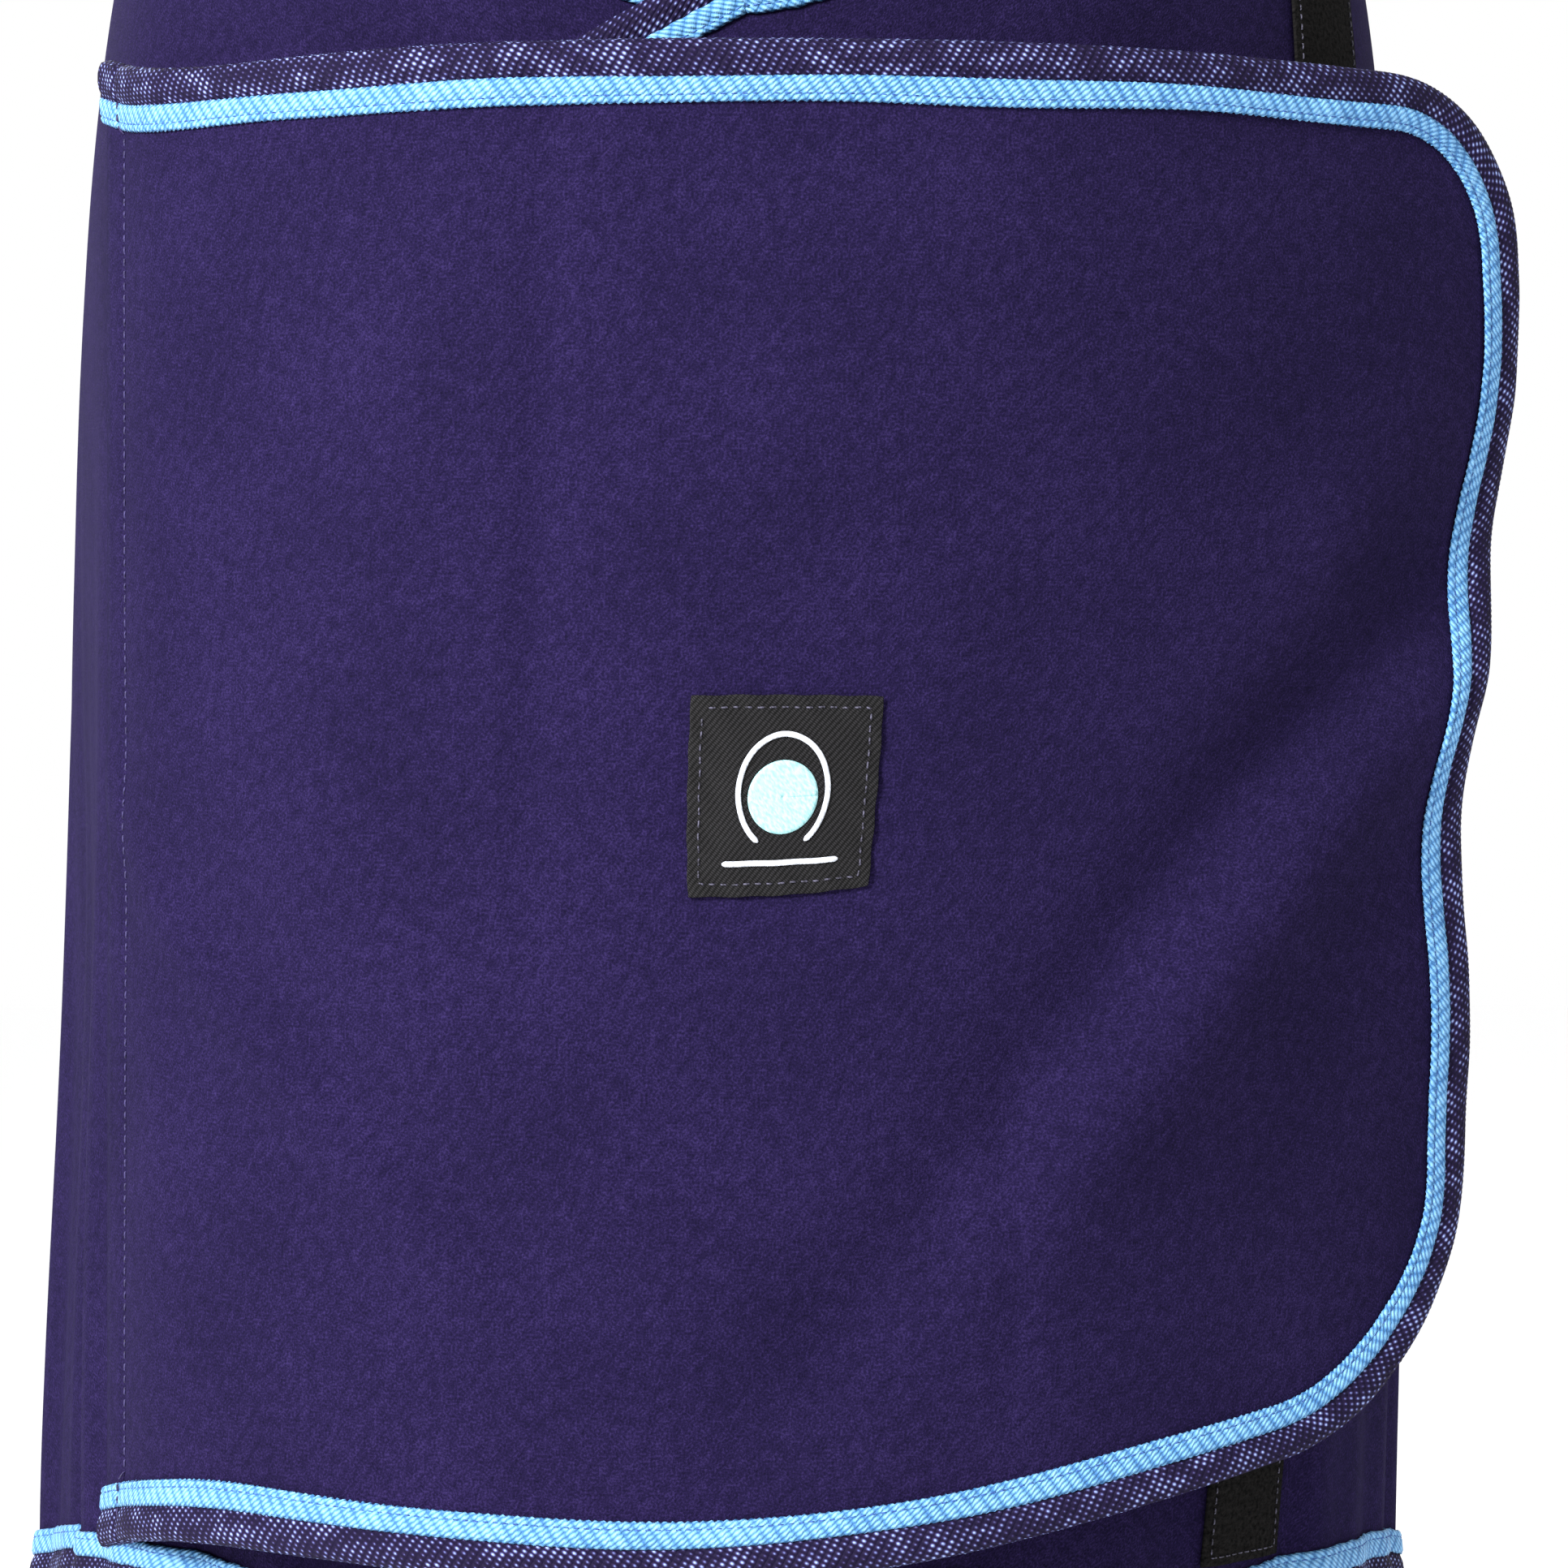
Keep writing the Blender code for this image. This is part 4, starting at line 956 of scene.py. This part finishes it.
def flapPath():
    high, low, wide = flap["top"], flap["top"] - flap["height"], flap["width"]
    stops = np.linspace(0, wide - flap["lowCorner"] - 0.0065, 60)
    corners = [(s, high, 0) for s in stops]
    corners.append((wide, high, flap["topCorner"]))
    corners.append((wide, low, flap["lowCorner"]))
    corners += [(s, low, 0) for s in reversed(stops)]
    return rounded(corners, 24)


# the double-breasted fronts

fronts = {
    "neckSlope": math.tan(math.radians(28.0)),
    "corner": 0.040,
    "overLap": 0.098,  # how far each front reaches past the middle
    "underLap": 0.085,
    "overLift": 0.010,
    "column": 0.0050,
    "rows": 110,
    "closure": ((-0.032, -0.58), (0.050, 0.36)),  # place and size of the tapes between the fronts
    "loopStrip": (0.040, 0.10, 0.002),  # width, lean, how far it stays from the tapes
    "patchLift": 0.0030,
    "flat": (0.545, 0.80),
    "overArea": 0.36,
    "underArea": 0.35,
    "bendTo": (0.2390, -0.3140, -0.5),
    "hinge": (0.2590, -0.2465, -0.5),
}


def frontChart(side, liftAt):
    def place(s, z, lift):
        return leant(chest(s, z, lift + liftAt(s)), side, np.interp(np.abs(s), roundS, roundU))

    return place


def overLift(s):
    return fronts["overLift"] * (1 - smooth((np.asarray(s) - 0.22) / 0.16))


def frontPath(lap, edge):
    corner = fronts["corner"]
    stops = list(np.linspace(edge, 0, 90)) + list(np.linspace(0, -(lap - corner) * 0.75, 12))[1:]
    corners = [(s, neckHeight(s), 0) for s in stops]
    corners.append((-lap, neckHeight(-lap), corner))
    corners.append((-lap, hemHeight(-lap), corner * 0.8))
    corners += [(s, hemHeight(s), 0) for s in reversed(stops)]
    return rounded(corners)


# The cloth inside a path: columns from the sewn edge to the free one, each spread from top to low
def insidePath(path, free, column, rows):
    edge = np.flatnonzero(np.abs(path[:, 0] - free) < 1e-6)
    upper, lower = path[: edge[0] + 1], path[edge[-1] :][::-1]
    sign = 1.0 if free > path[0, 0] else -1.0
    stops = np.linspace(path[0, 0], free, round(abs(free - path[0, 0]) / column) + 1)
    high = np.interp(sign * stops, sign * upper[:, 0], upper[:, 1])
    deep = np.interp(sign * stops, sign * lower[:, 0], lower[:, 1])
    share = np.linspace(0, 1, rows)
    z = high[:, None] + (deep - high)[:, None] * share[None]
    return np.broadcast_to(stops[:, None], z.shape), z


def patchOn(name, chart, centre, size, lift, thickness, material, pitch=0.005, ease=None):
    s = centre[0] + np.linspace(-0.5, 0.5, round(size[0] / pitch) + 1) * size[0]
    z = centre[1] - np.linspace(-0.5, 0.5, round(size[1] / pitch) + 1) * size[1]
    s, z = np.meshgrid(s, z, indexing="ij")
    if ease:
        s, z, lift = ease(s, z, lift)
    obj = cloth(name, chart(s, z, lift + s * 0), thickness, material)
    easeEdges(obj, thickness * 0.35, 50)
    return obj


def patchStitching(name, chart, centre, patch, inset, lift, size=None):
    x, z = patch[0] / 2 - inset, patch[1] / 2 - inset
    corners = np.array([(-x, z), (x, z), (x, -z), (-x, -z), (-x, z)]) + np.array(centre)
    return stitches(name, sewnLine(*resampled(corners, 0.002)), chart, 0.0, lift, "greyThread", size)


def makeFront(side, word, lap, liftAt, seed):
    chart = frontChart(side, liftAt)
    sewn = float(np.interp(horse["hinge"], roundU, roundS))
    path = frontPath(lap, sewn)
    s, z = insidePath(path, -lap, fronts["column"], fronts["rows"])
    seam = sides["seamRise"] * bell(s, sewn, 0.004)
    panel = cloth("front" + word, chart(s, z, seam), tapes["fleece"], "fleece")
    made = [panel] + tapeEdge("front" + word, boundEdge(path, -1), chart, seed)
    heights = np.linspace(neckHeight(sewn) - 0.03, hemHeight(sewn) + 0.03, 200)
    line = sewnLine(np.stack([np.full(200, sewn - 0.006), heights], 1), heights[0] - heights)
    made.append(stitches("front" + word + "Seam", line, chart, 0.0, tapes["seamLift"]))
    return chart, made


# The strip leans back towards the neck and runs from the neck tapes to the hem tapes, where the flap's hooks land
def loopStrip(over):
    wide, lean, clear = fronts["loopStrip"]
    stripS, stripZ = flapStripAt()
    stops = np.arange(0.10, 0.40, 0.001)
    gaps = np.linalg.norm(chest(stops, stops * 0 + stripZ, overLift(stops)) - flapChart(stripS, stripZ, 0.0), axis=-1)
    middle = float(stops[gaps.argmin()])
    tape = tapes["width"] + 0.001 + tapes["trimRoom"] + clear
    near = middle - wide / 2
    low = hemHeight(near + lean * (hemHeight(near) - stripZ)) + tape
    high = neckHeight(near + lean * (neckHeight(near) - stripZ)) - tape * 1.3
    return lambda s, z, n: over(s + lean * (z - stripZ), z, n), (middle, (low + high) / 2), (wide, high - low)


def makeFronts():
    over, overPieces = makeFront(1, "Over", fronts["overLap"], overLift, 31)
    under, underPieces = makeFront(-1, "Under", fronts["underLap"], lambda s: 0.0, 41)
    lift = fronts["patchLift"]
    hook = patchOn("closureHookTape", over, *fronts["closure"], -lift, 0.001, "hook")
    leaning, at, size = loopStrip(over)
    strip = patchOn("flapLoopStrip", leaning, at, size, lift, 0.0014, "loop")
    stripThread = patchStitching("flapLoopStripStitching", leaning, at, size, 0.003, lift + 0.0008)
    loop = patchOn("closureLoopTape", under, *fronts["closure"], lift, 0.0014, "loop")
    finishPanel(overPieces, "front_over", blend=("rug", "over_front", fronts["hinge"], fronts["bendTo"]))
    finishPanel(underPieces, "front_under", body="rug")
    tapesOver = [hook, strip, stripThread]
    finishPiece(tapesOver, ["closure_hook_tape", "flap_loop_strip"], ["hook_and_loop"] * 3, "over_front")
    finishPiece([loop], ["closure_loop_tape"], ["hook_and_loop"], "rug")
    return overPieces + tapesOver, underPieces + [loop]


overPieces, underPieces = makeFronts()
print("fronts made")


labelSize = {
    "side": 0.064,
    "at": (0.292, -0.559),
    "lift": 0.0026,
    "thickness": 0.0007,
    "stitchInset": 0.0040,
    "stitch": (0.0026, 0.0014, 0.00032),
    "disc": (0.0, -0.0006, 0.0118),
    "shoe": (0.0150, 0.0185, 0.55),  # half width, half height, how far the ends open
    "bar": (0.0200, -0.0215),
    "strand": (0.00085, 0.00050),
}


def puckered(s, z, lift):
    x, y = (s - labelSize["at"][0]) / labelSize["side"] * 2, (z - labelSize["at"][1]) / labelSize["side"] * 2
    wave = 0.00016 * np.sin(15 * y + 1.1) * x**2 * np.sign(x) - 0.0007 * (y - 0.2) ** 2 * np.sign(x) * x**2
    sink = 0.00016 * np.cos(14 * x + 0.8) * y**2 * np.sign(y) - 0.0008 * (x + 0.1) ** 2 * y**2 * np.sign(y)
    edge = np.maximum(np.abs(x), np.abs(y))
    ripple = 1 + 0.5 * np.sin(4.1 * x + 2.3 * y) * np.sin(3.0 * y - 1.2)
    lift = lift + 0.0009 * (1 - smooth((edge - 0.35) / 0.6)) * ripple
    lift = lift + 0.00035 * np.sin(13 * (x + y)) * smooth((edge - 0.6) / 0.4)
    return s + wave, z + sink - 0.0006 * x * y, lift


def flatStroke(name, line, lift):
    wide, high = labelSize["strand"]
    line, _ = resampled(np.array(line), 0.0006)
    along = unit(np.gradient(line, axis=0))
    side = np.stack([-along[:, 1], along[:, 0]], 1)
    taper = np.minimum(1, np.minimum(np.arange(len(line)), np.arange(len(line))[::-1]) * 0.45 + 0.25)
    turn = np.linspace(0, math.pi, 7)
    across = np.cos(turn)[None] * wide * taper[:, None]
    rise = np.sin(turn)[None] * high * taper[:, None]
    s = labelSize["at"][0] + line[:, :1] + side[:, :1] * across
    z = labelSize["at"][1] + line[:, 1:] + side[:, 1:] * across
    s, z, raised = puckered(s, z, lift + rise)
    return cloth(name, flapChart(s, z, raised), 0.0002, "whiteThread")


def makeLabel():
    side, at, lift = labelSize["side"], labelSize["at"], labelSize["lift"]
    label = patchOn("flapLabel", flapChart, at, (side, side), lift, labelSize["thickness"], "label", 0.0014, puckered)
    thread = lambda s, z, n: flapChart(*puckered(s, z, n))
    inset, size = labelSize["stitchInset"], labelSize["stitch"]
    seam = patchStitching("flapLabelStitching", thread, at, (side, side), inset, lift + 0.0004, size)
    x, z, radius = labelSize["disc"]
    r, a = np.meshgrid(np.linspace(0.0003, 1, 9) * radius, np.linspace(0, 2 * math.pi, 65), indexing="ij")
    s, h, n = puckered(at[0] + x + r * np.cos(a), at[1] + z + r * np.sin(a), lift + 0.0006)
    uv = np.stack([r * np.cos(a), r * np.sin(a)], 2)
    disc = cloth("flapLabelDisc", flapChart(s, h, n), 0.0003, "discThread", uv)
    wide, high, opening = labelSize["shoe"]
    t = np.linspace(-math.pi / 2 + opening, math.pi * 1.5 - opening, 60)
    shoe = flatStroke("flapLabelMotif", np.stack([wide * np.cos(t), high * np.sin(t) + 0.001], 1), lift + 0.0008)
    half, low = labelSize["bar"]
    bar = flatStroke("flapLabelBar", [(-half, low), (half, low)], lift + 0.0007)
    made = [label, seam, disc, shoe, bar]
    finishPiece(made, ["flap_label"], ["label"] * 5, "chest_flap")
    return made


def makeFlap():
    path = flapPath()
    s, z = insidePath(path, flap["width"], flap["column"], flap["rows"])
    panel = cloth("flapPanel", flapChart(s, z, s * 0), tapes["fleece"], "fleece")
    made = [panel] + tapeEdge("flap", boundEdge(path, 1, 0.0010), flapChart, 51)
    depth = np.linspace(flap["top"] - 0.001, flap["top"] - flap["height"] + 0.001, 260)
    line = sewnLine(np.stack([np.full(260, flap["turning"]), depth], 1), depth[0] - depth)
    onTape = np.minimum(line["at"], line["at"][-1] - line["at"]) < tapes["width"] + 0.008
    lift = np.where(onTape, 0.0042, 0.0016)
    made.append(stitches("flapSeam", line, flapChart, 0.0, lift, size=flap["seamStitch"]))
    finishPanel(made, "flap", "_panel", blend=("rug", "chest_flap", flap["hinge"], flap["bendTo"]))
    strip = patchOn("flapHookStrip", flapChart, flapStripAt(), flap["stripSize"], -0.0030, 0.001, "hook")
    finishPiece([strip], ["flap_hook_strip"], ["hook_and_loop"], "chest_flap")
    return made + [strip] + makeLabel()


flapPieces = makeFlap()
print("chest flap made")


# the tail flap

tail = {
    "length": 0.50,
    "hang": 0.42,  # its low edge below the end of the back
    "half": 0.168,
    "seam": 11.45,  # in ribs
    "corner": 0.06,
    "lift": 0.0095,
    "onRump": 0.085,  # this much of its length lies on the rump
    "hinge": (0.0, 1.38933, -0.19386),
    "bendTo": (0.0, 1.42700, -0.22750),
    "folds": (0.0060, 2.6, 0.15),  # depth, half waves across, start
}


def tailPlace(down, across):
    a = across / tail["half"]
    onRump, lift = tail["onRump"], tail["lift"]
    mirror = np.where(a < 0, -1.0, 1.0)[..., None] * np.array((1.0, 0.0, 0.0)) + np.array((0.0, 1.0, 1.0))
    v = np.abs(a) * (0.22 + 0.14 * np.clip(down / onRump, -1, 1))
    u = tail["seam"] + (horse["rear"] - tail["seam"]) * np.minimum(down, onRump) / onRump
    rump = lifted(u, v, lift, 0.0) * mirror
    last = np.full(v.shape, float(horse["rear"]))
    start = lifted(last, v, lift, 0.0) * mirror
    along = unit(start - lifted(last - 0.05, v, lift, 0.0) * mirror)
    end = np.stack([across, 1.515 - 0.018 * a * a, across * 0 + top[-1][2] - tail["hang"]], -1)
    share = ((down - onRump) / (tail["length"] - onRump))[..., None]
    hanging = bezier(start, start + along * 0.05, end + np.array((0, -0.002, 0.18)), end, share)
    return np.where((down < onRump)[..., None], rump, hanging)


def tailChart(down, across, lift):
    down, across, lift = np.broadcast_arrays(np.asarray(down, float), across, lift)
    step = 0.001
    wide = tailPlace(down, across + step) - tailPlace(down, across - step)
    long = tailPlace(down + step, across) - tailPlace(down - step, across)
    depth, often, start = tail["folds"]
    share = down / tail["length"]
    fold = depth * smooth((share - 0.3) / 0.7) * np.sin(2 * math.pi * (across / tail["half"] * often / 2 + start))
    return tailPlace(down, across) + unit(np.cross(wide, long)) * (lift + fold)[..., None]


def makeTailFlap():
    length, half, corner = tail["length"], tail["half"], tail["corner"]
    stops = np.linspace(0, length * 0.8, 70)
    corners = [(x, -half, 0) for x in stops] + [(length, -half, corner), (length, half, corner)]
    corners += [(x, half, 0) for x in reversed(stops)]
    path = rounded(corners, 20)
    s, z = insidePath(path, length, 0.005, 80)
    panel = cloth("tailFlapPanel", tailChart(s, z, s * 0), tapes["fleece"], "fleece")
    made = [panel] + tapeEdge("tailFlap", boundEdge(path, -1), tailChart, 61)
    cross = np.linspace(-half + 0.004, half - 0.004, 150)
    line = sewnLine(np.stack([np.full(150, 0.006), cross], 1), cross - cross[0])
    made.append(stitches("tailFlapSeam", line, tailChart, 0.0, 0.0018))
    finishPanel(made, "tail_flap", "_panel", blend=("rug", "tail_flap", tail["hinge"], tail["bendTo"]))
    return made


tailPieces = makeTailFlap()
print("tail flap made")


# surcingles, their hem fittings and the rear rings

strapping = {
    "width": 0.040,
    "thickness": 0.002,
    "drop": 0.052,  # the hooks hang this far below the hem
    "inset": 0.0095,  # and this far inside it
    "straight": 0.095,
    "ends": (0.33, 0.63),  # where the front strap is held on the right and on the left
    "sag": {"front": 0.080, "rear": 0.106},
    "plate": (0.050, 0.036, 0.0025),
    "rail": 0.006,
    "reach": 0.010,
    "clearance": 0.0005,
    "slideTail": 0.080,
    "patch": (0.070, 0.060),
    "patchStitch": (0.0030, 0.0012, 0.0004),
    "tabRises": (0.052, 0.030, 0.006, -0.004),  # heights of the sewn end above the hem
    "ringWidth": 0.024,
    "wire": 0.004,
}
up = Vector((0, 0, 1))


def bodyVector(u, v, lift=0.0):
    p = lifted(u, v, lift, 0.0) if lift else body(u, v)
    return Vector(p.tolist())


def hemPoint(y, side):
    low, high = float(horse["withers"]), float(horse["rear"])
    for _ in range(30):
        u = (low + high) / 2
        if body(u, 1.0)[1] < y:
            low = u
        else:
            high = u
    p = bodyVector(u, 1.0)
    return u, Vector((side * p.x, p.y, p.z))


def aroundBar(bar, rising, out, halfThick, halfHigh, height, short):
    away = halfThick + strapping["clearance"] + strapping["thickness"] / 2
    below = halfHigh + strapping["clearance"] + strapping["thickness"] / 2 + 0.0002
    turn = [(away, halfHigh), (away * 0.7, below), (-away * 0.7, below), (-away, halfHigh)]
    line = [bar + out * away + rising * height]
    line += [bar + out * n - rising * depth for n, depth in turn]
    line.append(bar - out * away + rising * short)
    return line


# Webbing along a line of points: corners eased, then a woven band with soft edges
def webbing(name, centres, ways, width):
    line = np.array([[*c, *w] for c, w in zip(centres, ways)], float)
    for _ in range(2):
        cuts = [[a * 0.78 + b * 0.22, a * 0.22 + b * 0.78] for a, b in zip(line, line[1:])]
        line = np.concatenate([line[:1], *cuts, line[-1:]])
    lengths = lengthsOf(line[:, :3])
    at = np.unique(np.concatenate([np.linspace(0, lengths[-1], round(lengths[-1] / 0.0035) + 1), lengths]))
    at = at[np.concatenate([[True], np.diff(at) > 0.0004])]
    line = between(at, lengths, line)
    middle, way = line[:, :3], unit(line[:, 3:])
    across = np.linspace(-0.5, 0.5, 9) * width
    points = middle[:, None] + way[:, None] * across[None, :, None]
    uv = np.stack(np.broadcast_arrays(at[:, None], across[None]), 2)
    obj = cloth(name, points, strapping["thickness"] * 0.95, "webbing", uv)
    easeEdges(obj, 0.0005, 60)
    return obj


def boxStitch(name, corners, normal):
    places, at = resampled(np.array(corners), 0.0005)
    starts = np.arange(0.0005, at[-1] - 0.003, 0.0036)
    ends = [between(x, at, places) for x in (starts, starts + 0.0026)]
    normals = np.broadcast_to(np.array(normal, float), ends[0].shape)
    return threadBeads(name, *ends, normals, "greyThread", 0.0004)


def makeTab(name, end, rail, chord, side):
    u, hem = hemPoint(end.y, side)
    facing = up.cross(chord)
    bar = end + up * rail
    loop = aroundBar(bar, up, chord * side, strapping["plate"][2] / 2, strapping["rail"] / 2, 0.010, 0.012)
    inside = tapes["fleece"] / 2 + 0.001 + 0.0025 + strapping["thickness"] / 2
    centres, ways = [], []
    for rise in strapping["tabRises"]:
        p = bodyVector(u, 1.0 - rise / 0.9, -inside)
        centres.append(Vector((side * p.x, p.y, hem.z + rise)))
        ways.append(Vector((0, 1, 0)))
    return webbing(name, centres + loop, ways + [facing] * len(loop), strapping["width"])


def makePatch(name, y, side):
    u, hem = hemPoint(y, side)
    wide, tall = strapping["patch"]
    rise = tapes["width"] + tapes["trimRoom"] + 0.006 + tall / 2
    i, j = np.meshgrid(np.linspace(-0.5, 0.5, 19), np.linspace(-0.5, 0.5, 17), indexing="ij")

    def place(i, j, lift):
        p = lifted(u + wide * i / 0.27, 1 - (rise + tall * j) / 0.99, lift, 0.0)
        p[..., 0] *= side
        return p

    uv = np.stack([i * wide, j * tall], 2)
    patch = cloth(name, place(i, j, tapes["fleece"] / 2 + 0.0021), 0.0012, "webbing", uv)
    # a box with a cross in it
    turn = np.array([(-1, -1), (1, -1), (1, 1), (-1, 1), (-1, -1), (1, 1), (1, -1), (-1, 1)]) * (0.44, 0.43)
    places, at = resampled(turn, 0.01)
    line = sewnLine(places, at * 0.065)
    lift = tapes["fleece"] / 2 + 0.0028
    return patch, stitches(name + "Stitching", line, place, 0.0, lift, "greyThread", strapping["patchStitch"])


def makeStrap(word, ends, chord, behind, low, sag):
    down = Vector((0, 0, -1))
    widthways = down.cross(chord)
    right = ends[0] + chord * behind - down * low
    left = ends[1] - chord * behind - down * low
    thick, rail = strapping["plate"][2] / 2, strapping["rail"] / 2
    first = aroundBar(right, down, chord, thick, rail, 0.020, strapping["slideTail"])
    last = aroundBar(left, down, -chord, thick, rail, 0.020, 0.030)
    start = first[0] + down * (strapping["straight"] - 0.020)
    end = last[0] + down * (strapping["straight"] - 0.020)
    middle, half = (start + end) / 2, (end - start).length / 2
    centres = list(reversed(first))
    for i in range(41):
        t = math.pi * i / 40
        centres.append(middle - chord * (half * math.cos(t)) + down * (sag * math.sin(t) ** 0.9))
    centres += last
    strap = webbing("strap" + word.capitalize(), centres, [widthways] * len(centres), strapping["width"])
    # the left end is folded back and sewn in a box
    side = widthways * (strapping["width"] / 2 - 0.004)
    face = last[-1] + down * -0.002 - chord * -0.0012
    high = last[-1] - down * 0.016 + chord * 0.0012
    box = [face + side, face - side, high - side, high + side, face + side]
    thread = boxStitch("strap" + word.capitalize() + "Stitching", box, chord)
    return strap, thread


def makeSurcingle(word, rightY, leftY):
    ends = []
    for side, y in ((-1, rightY), (1, leftY)):
        _, hem = hemPoint(y, side)
        ends.append(Vector((hem.x - side * strapping["inset"], hem.y, hem.z - strapping["drop"])))
    chord = (ends[1] - ends[0]).normalized()
    tall, thick = strapping["plate"][1], strapping["plate"][2]
    rail = strapping["reach"] + tall * 0.4 - strapping["rail"] / 2
    for side, end, hand in ((-1, ends[0], "Right"), (1, ends[1], "Left")):
        low = hand.lower()
        tab = makeTab(f"tab{word.capitalize()}{hand}", end, rail, chord, side)
        patch, thread = makePatch(f"patch{word.capitalize()}{hand}", end.y, side)
        finishPiece([tab, patch, thread], [f"tab_{word}_{low}", f"patch_{word}_{low}"], ["webbing"] * 3, "rug")
    behind, low = thick + 0.0015, strapping["reach"] - tall + strapping["rail"] / 2
    strap, thread = makeStrap(word, ends, chord, behind, low, strapping["sag"][word])
    finishPiece([strap, thread], ["strap_" + word], ["webbing"] * 2, word + "_surcingle")


makeSurcingle("front", *strapping["ends"])
makeSurcingle("rear", *reversed(strapping["ends"]))


def makeRingTabs():
    wire = strapping["wire"]
    for side, word in ((-1, "Right"), (1, "Left")):
        u, v = horse["rear"] - 0.42, 0.90
        inside = tapes["fleece"] / 2 + 0.002 + strapping["thickness"] / 2
        high = bodyVector(u, v - 0.055, -inside)
        along = bodyVector(u + 0.05, v) - bodyVector(u - 0.05, v)
        along = Vector((along.x, along.y, 0)).normalized()
        out = along.cross(up)
        away = wire * 0.75 + strapping["clearance"] + strapping["thickness"] / 2
        bar = bodyVector(u, v, -inside) - out * away
        for p in (high, along, out, bar):
            p.x *= side
        loop = aroundBar(bar, up, out, wire * 0.75, wire * 0.75, 0.008, 0.018)
        centres = [high, high.lerp(loop[0], 0.6)] + loop
        tab = webbing("ringTab" + word, centres, [along] * len(centres), strapping["ringWidth"])
        finishPiece([tab], ["ring_tab_" + word.lower()], ["webbing"], "rug")


makeRingTabs()
print("webbing made")


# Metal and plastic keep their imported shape, with its edges eased

# how far each kind's edges are eased, and the nodes of that kind
hardware = {
    "metal": (0.0005, ["slot_plate_", "t_hook_"]),
    "ring": (0.0013, ["ring_left", "ring_right"]),
    "plastic": (0.0008, ["adjuster_"]),
}


def finishHardware():
    for kind, (width, starts) in hardware.items():
        for name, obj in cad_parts.items():
            if not any(name.startswith(start) for start in starts):
                continue
            obj.data.materials.clear()
            obj.data.materials.append(finishes["plastic" if kind == "plastic" else "metal"])
            obj.data.shade_smooth()
            easeEdges(obj, width, 40, 3).harden_normals = True


finishHardware()
print("hardware finished")


# Imported nodes still shown without one of these finishes are printed


for name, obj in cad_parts.items():
    if not obj.hide_render and obj.data.materials and obj.data.materials[0] not in finishes.values():
        print("unfinished node:", name)
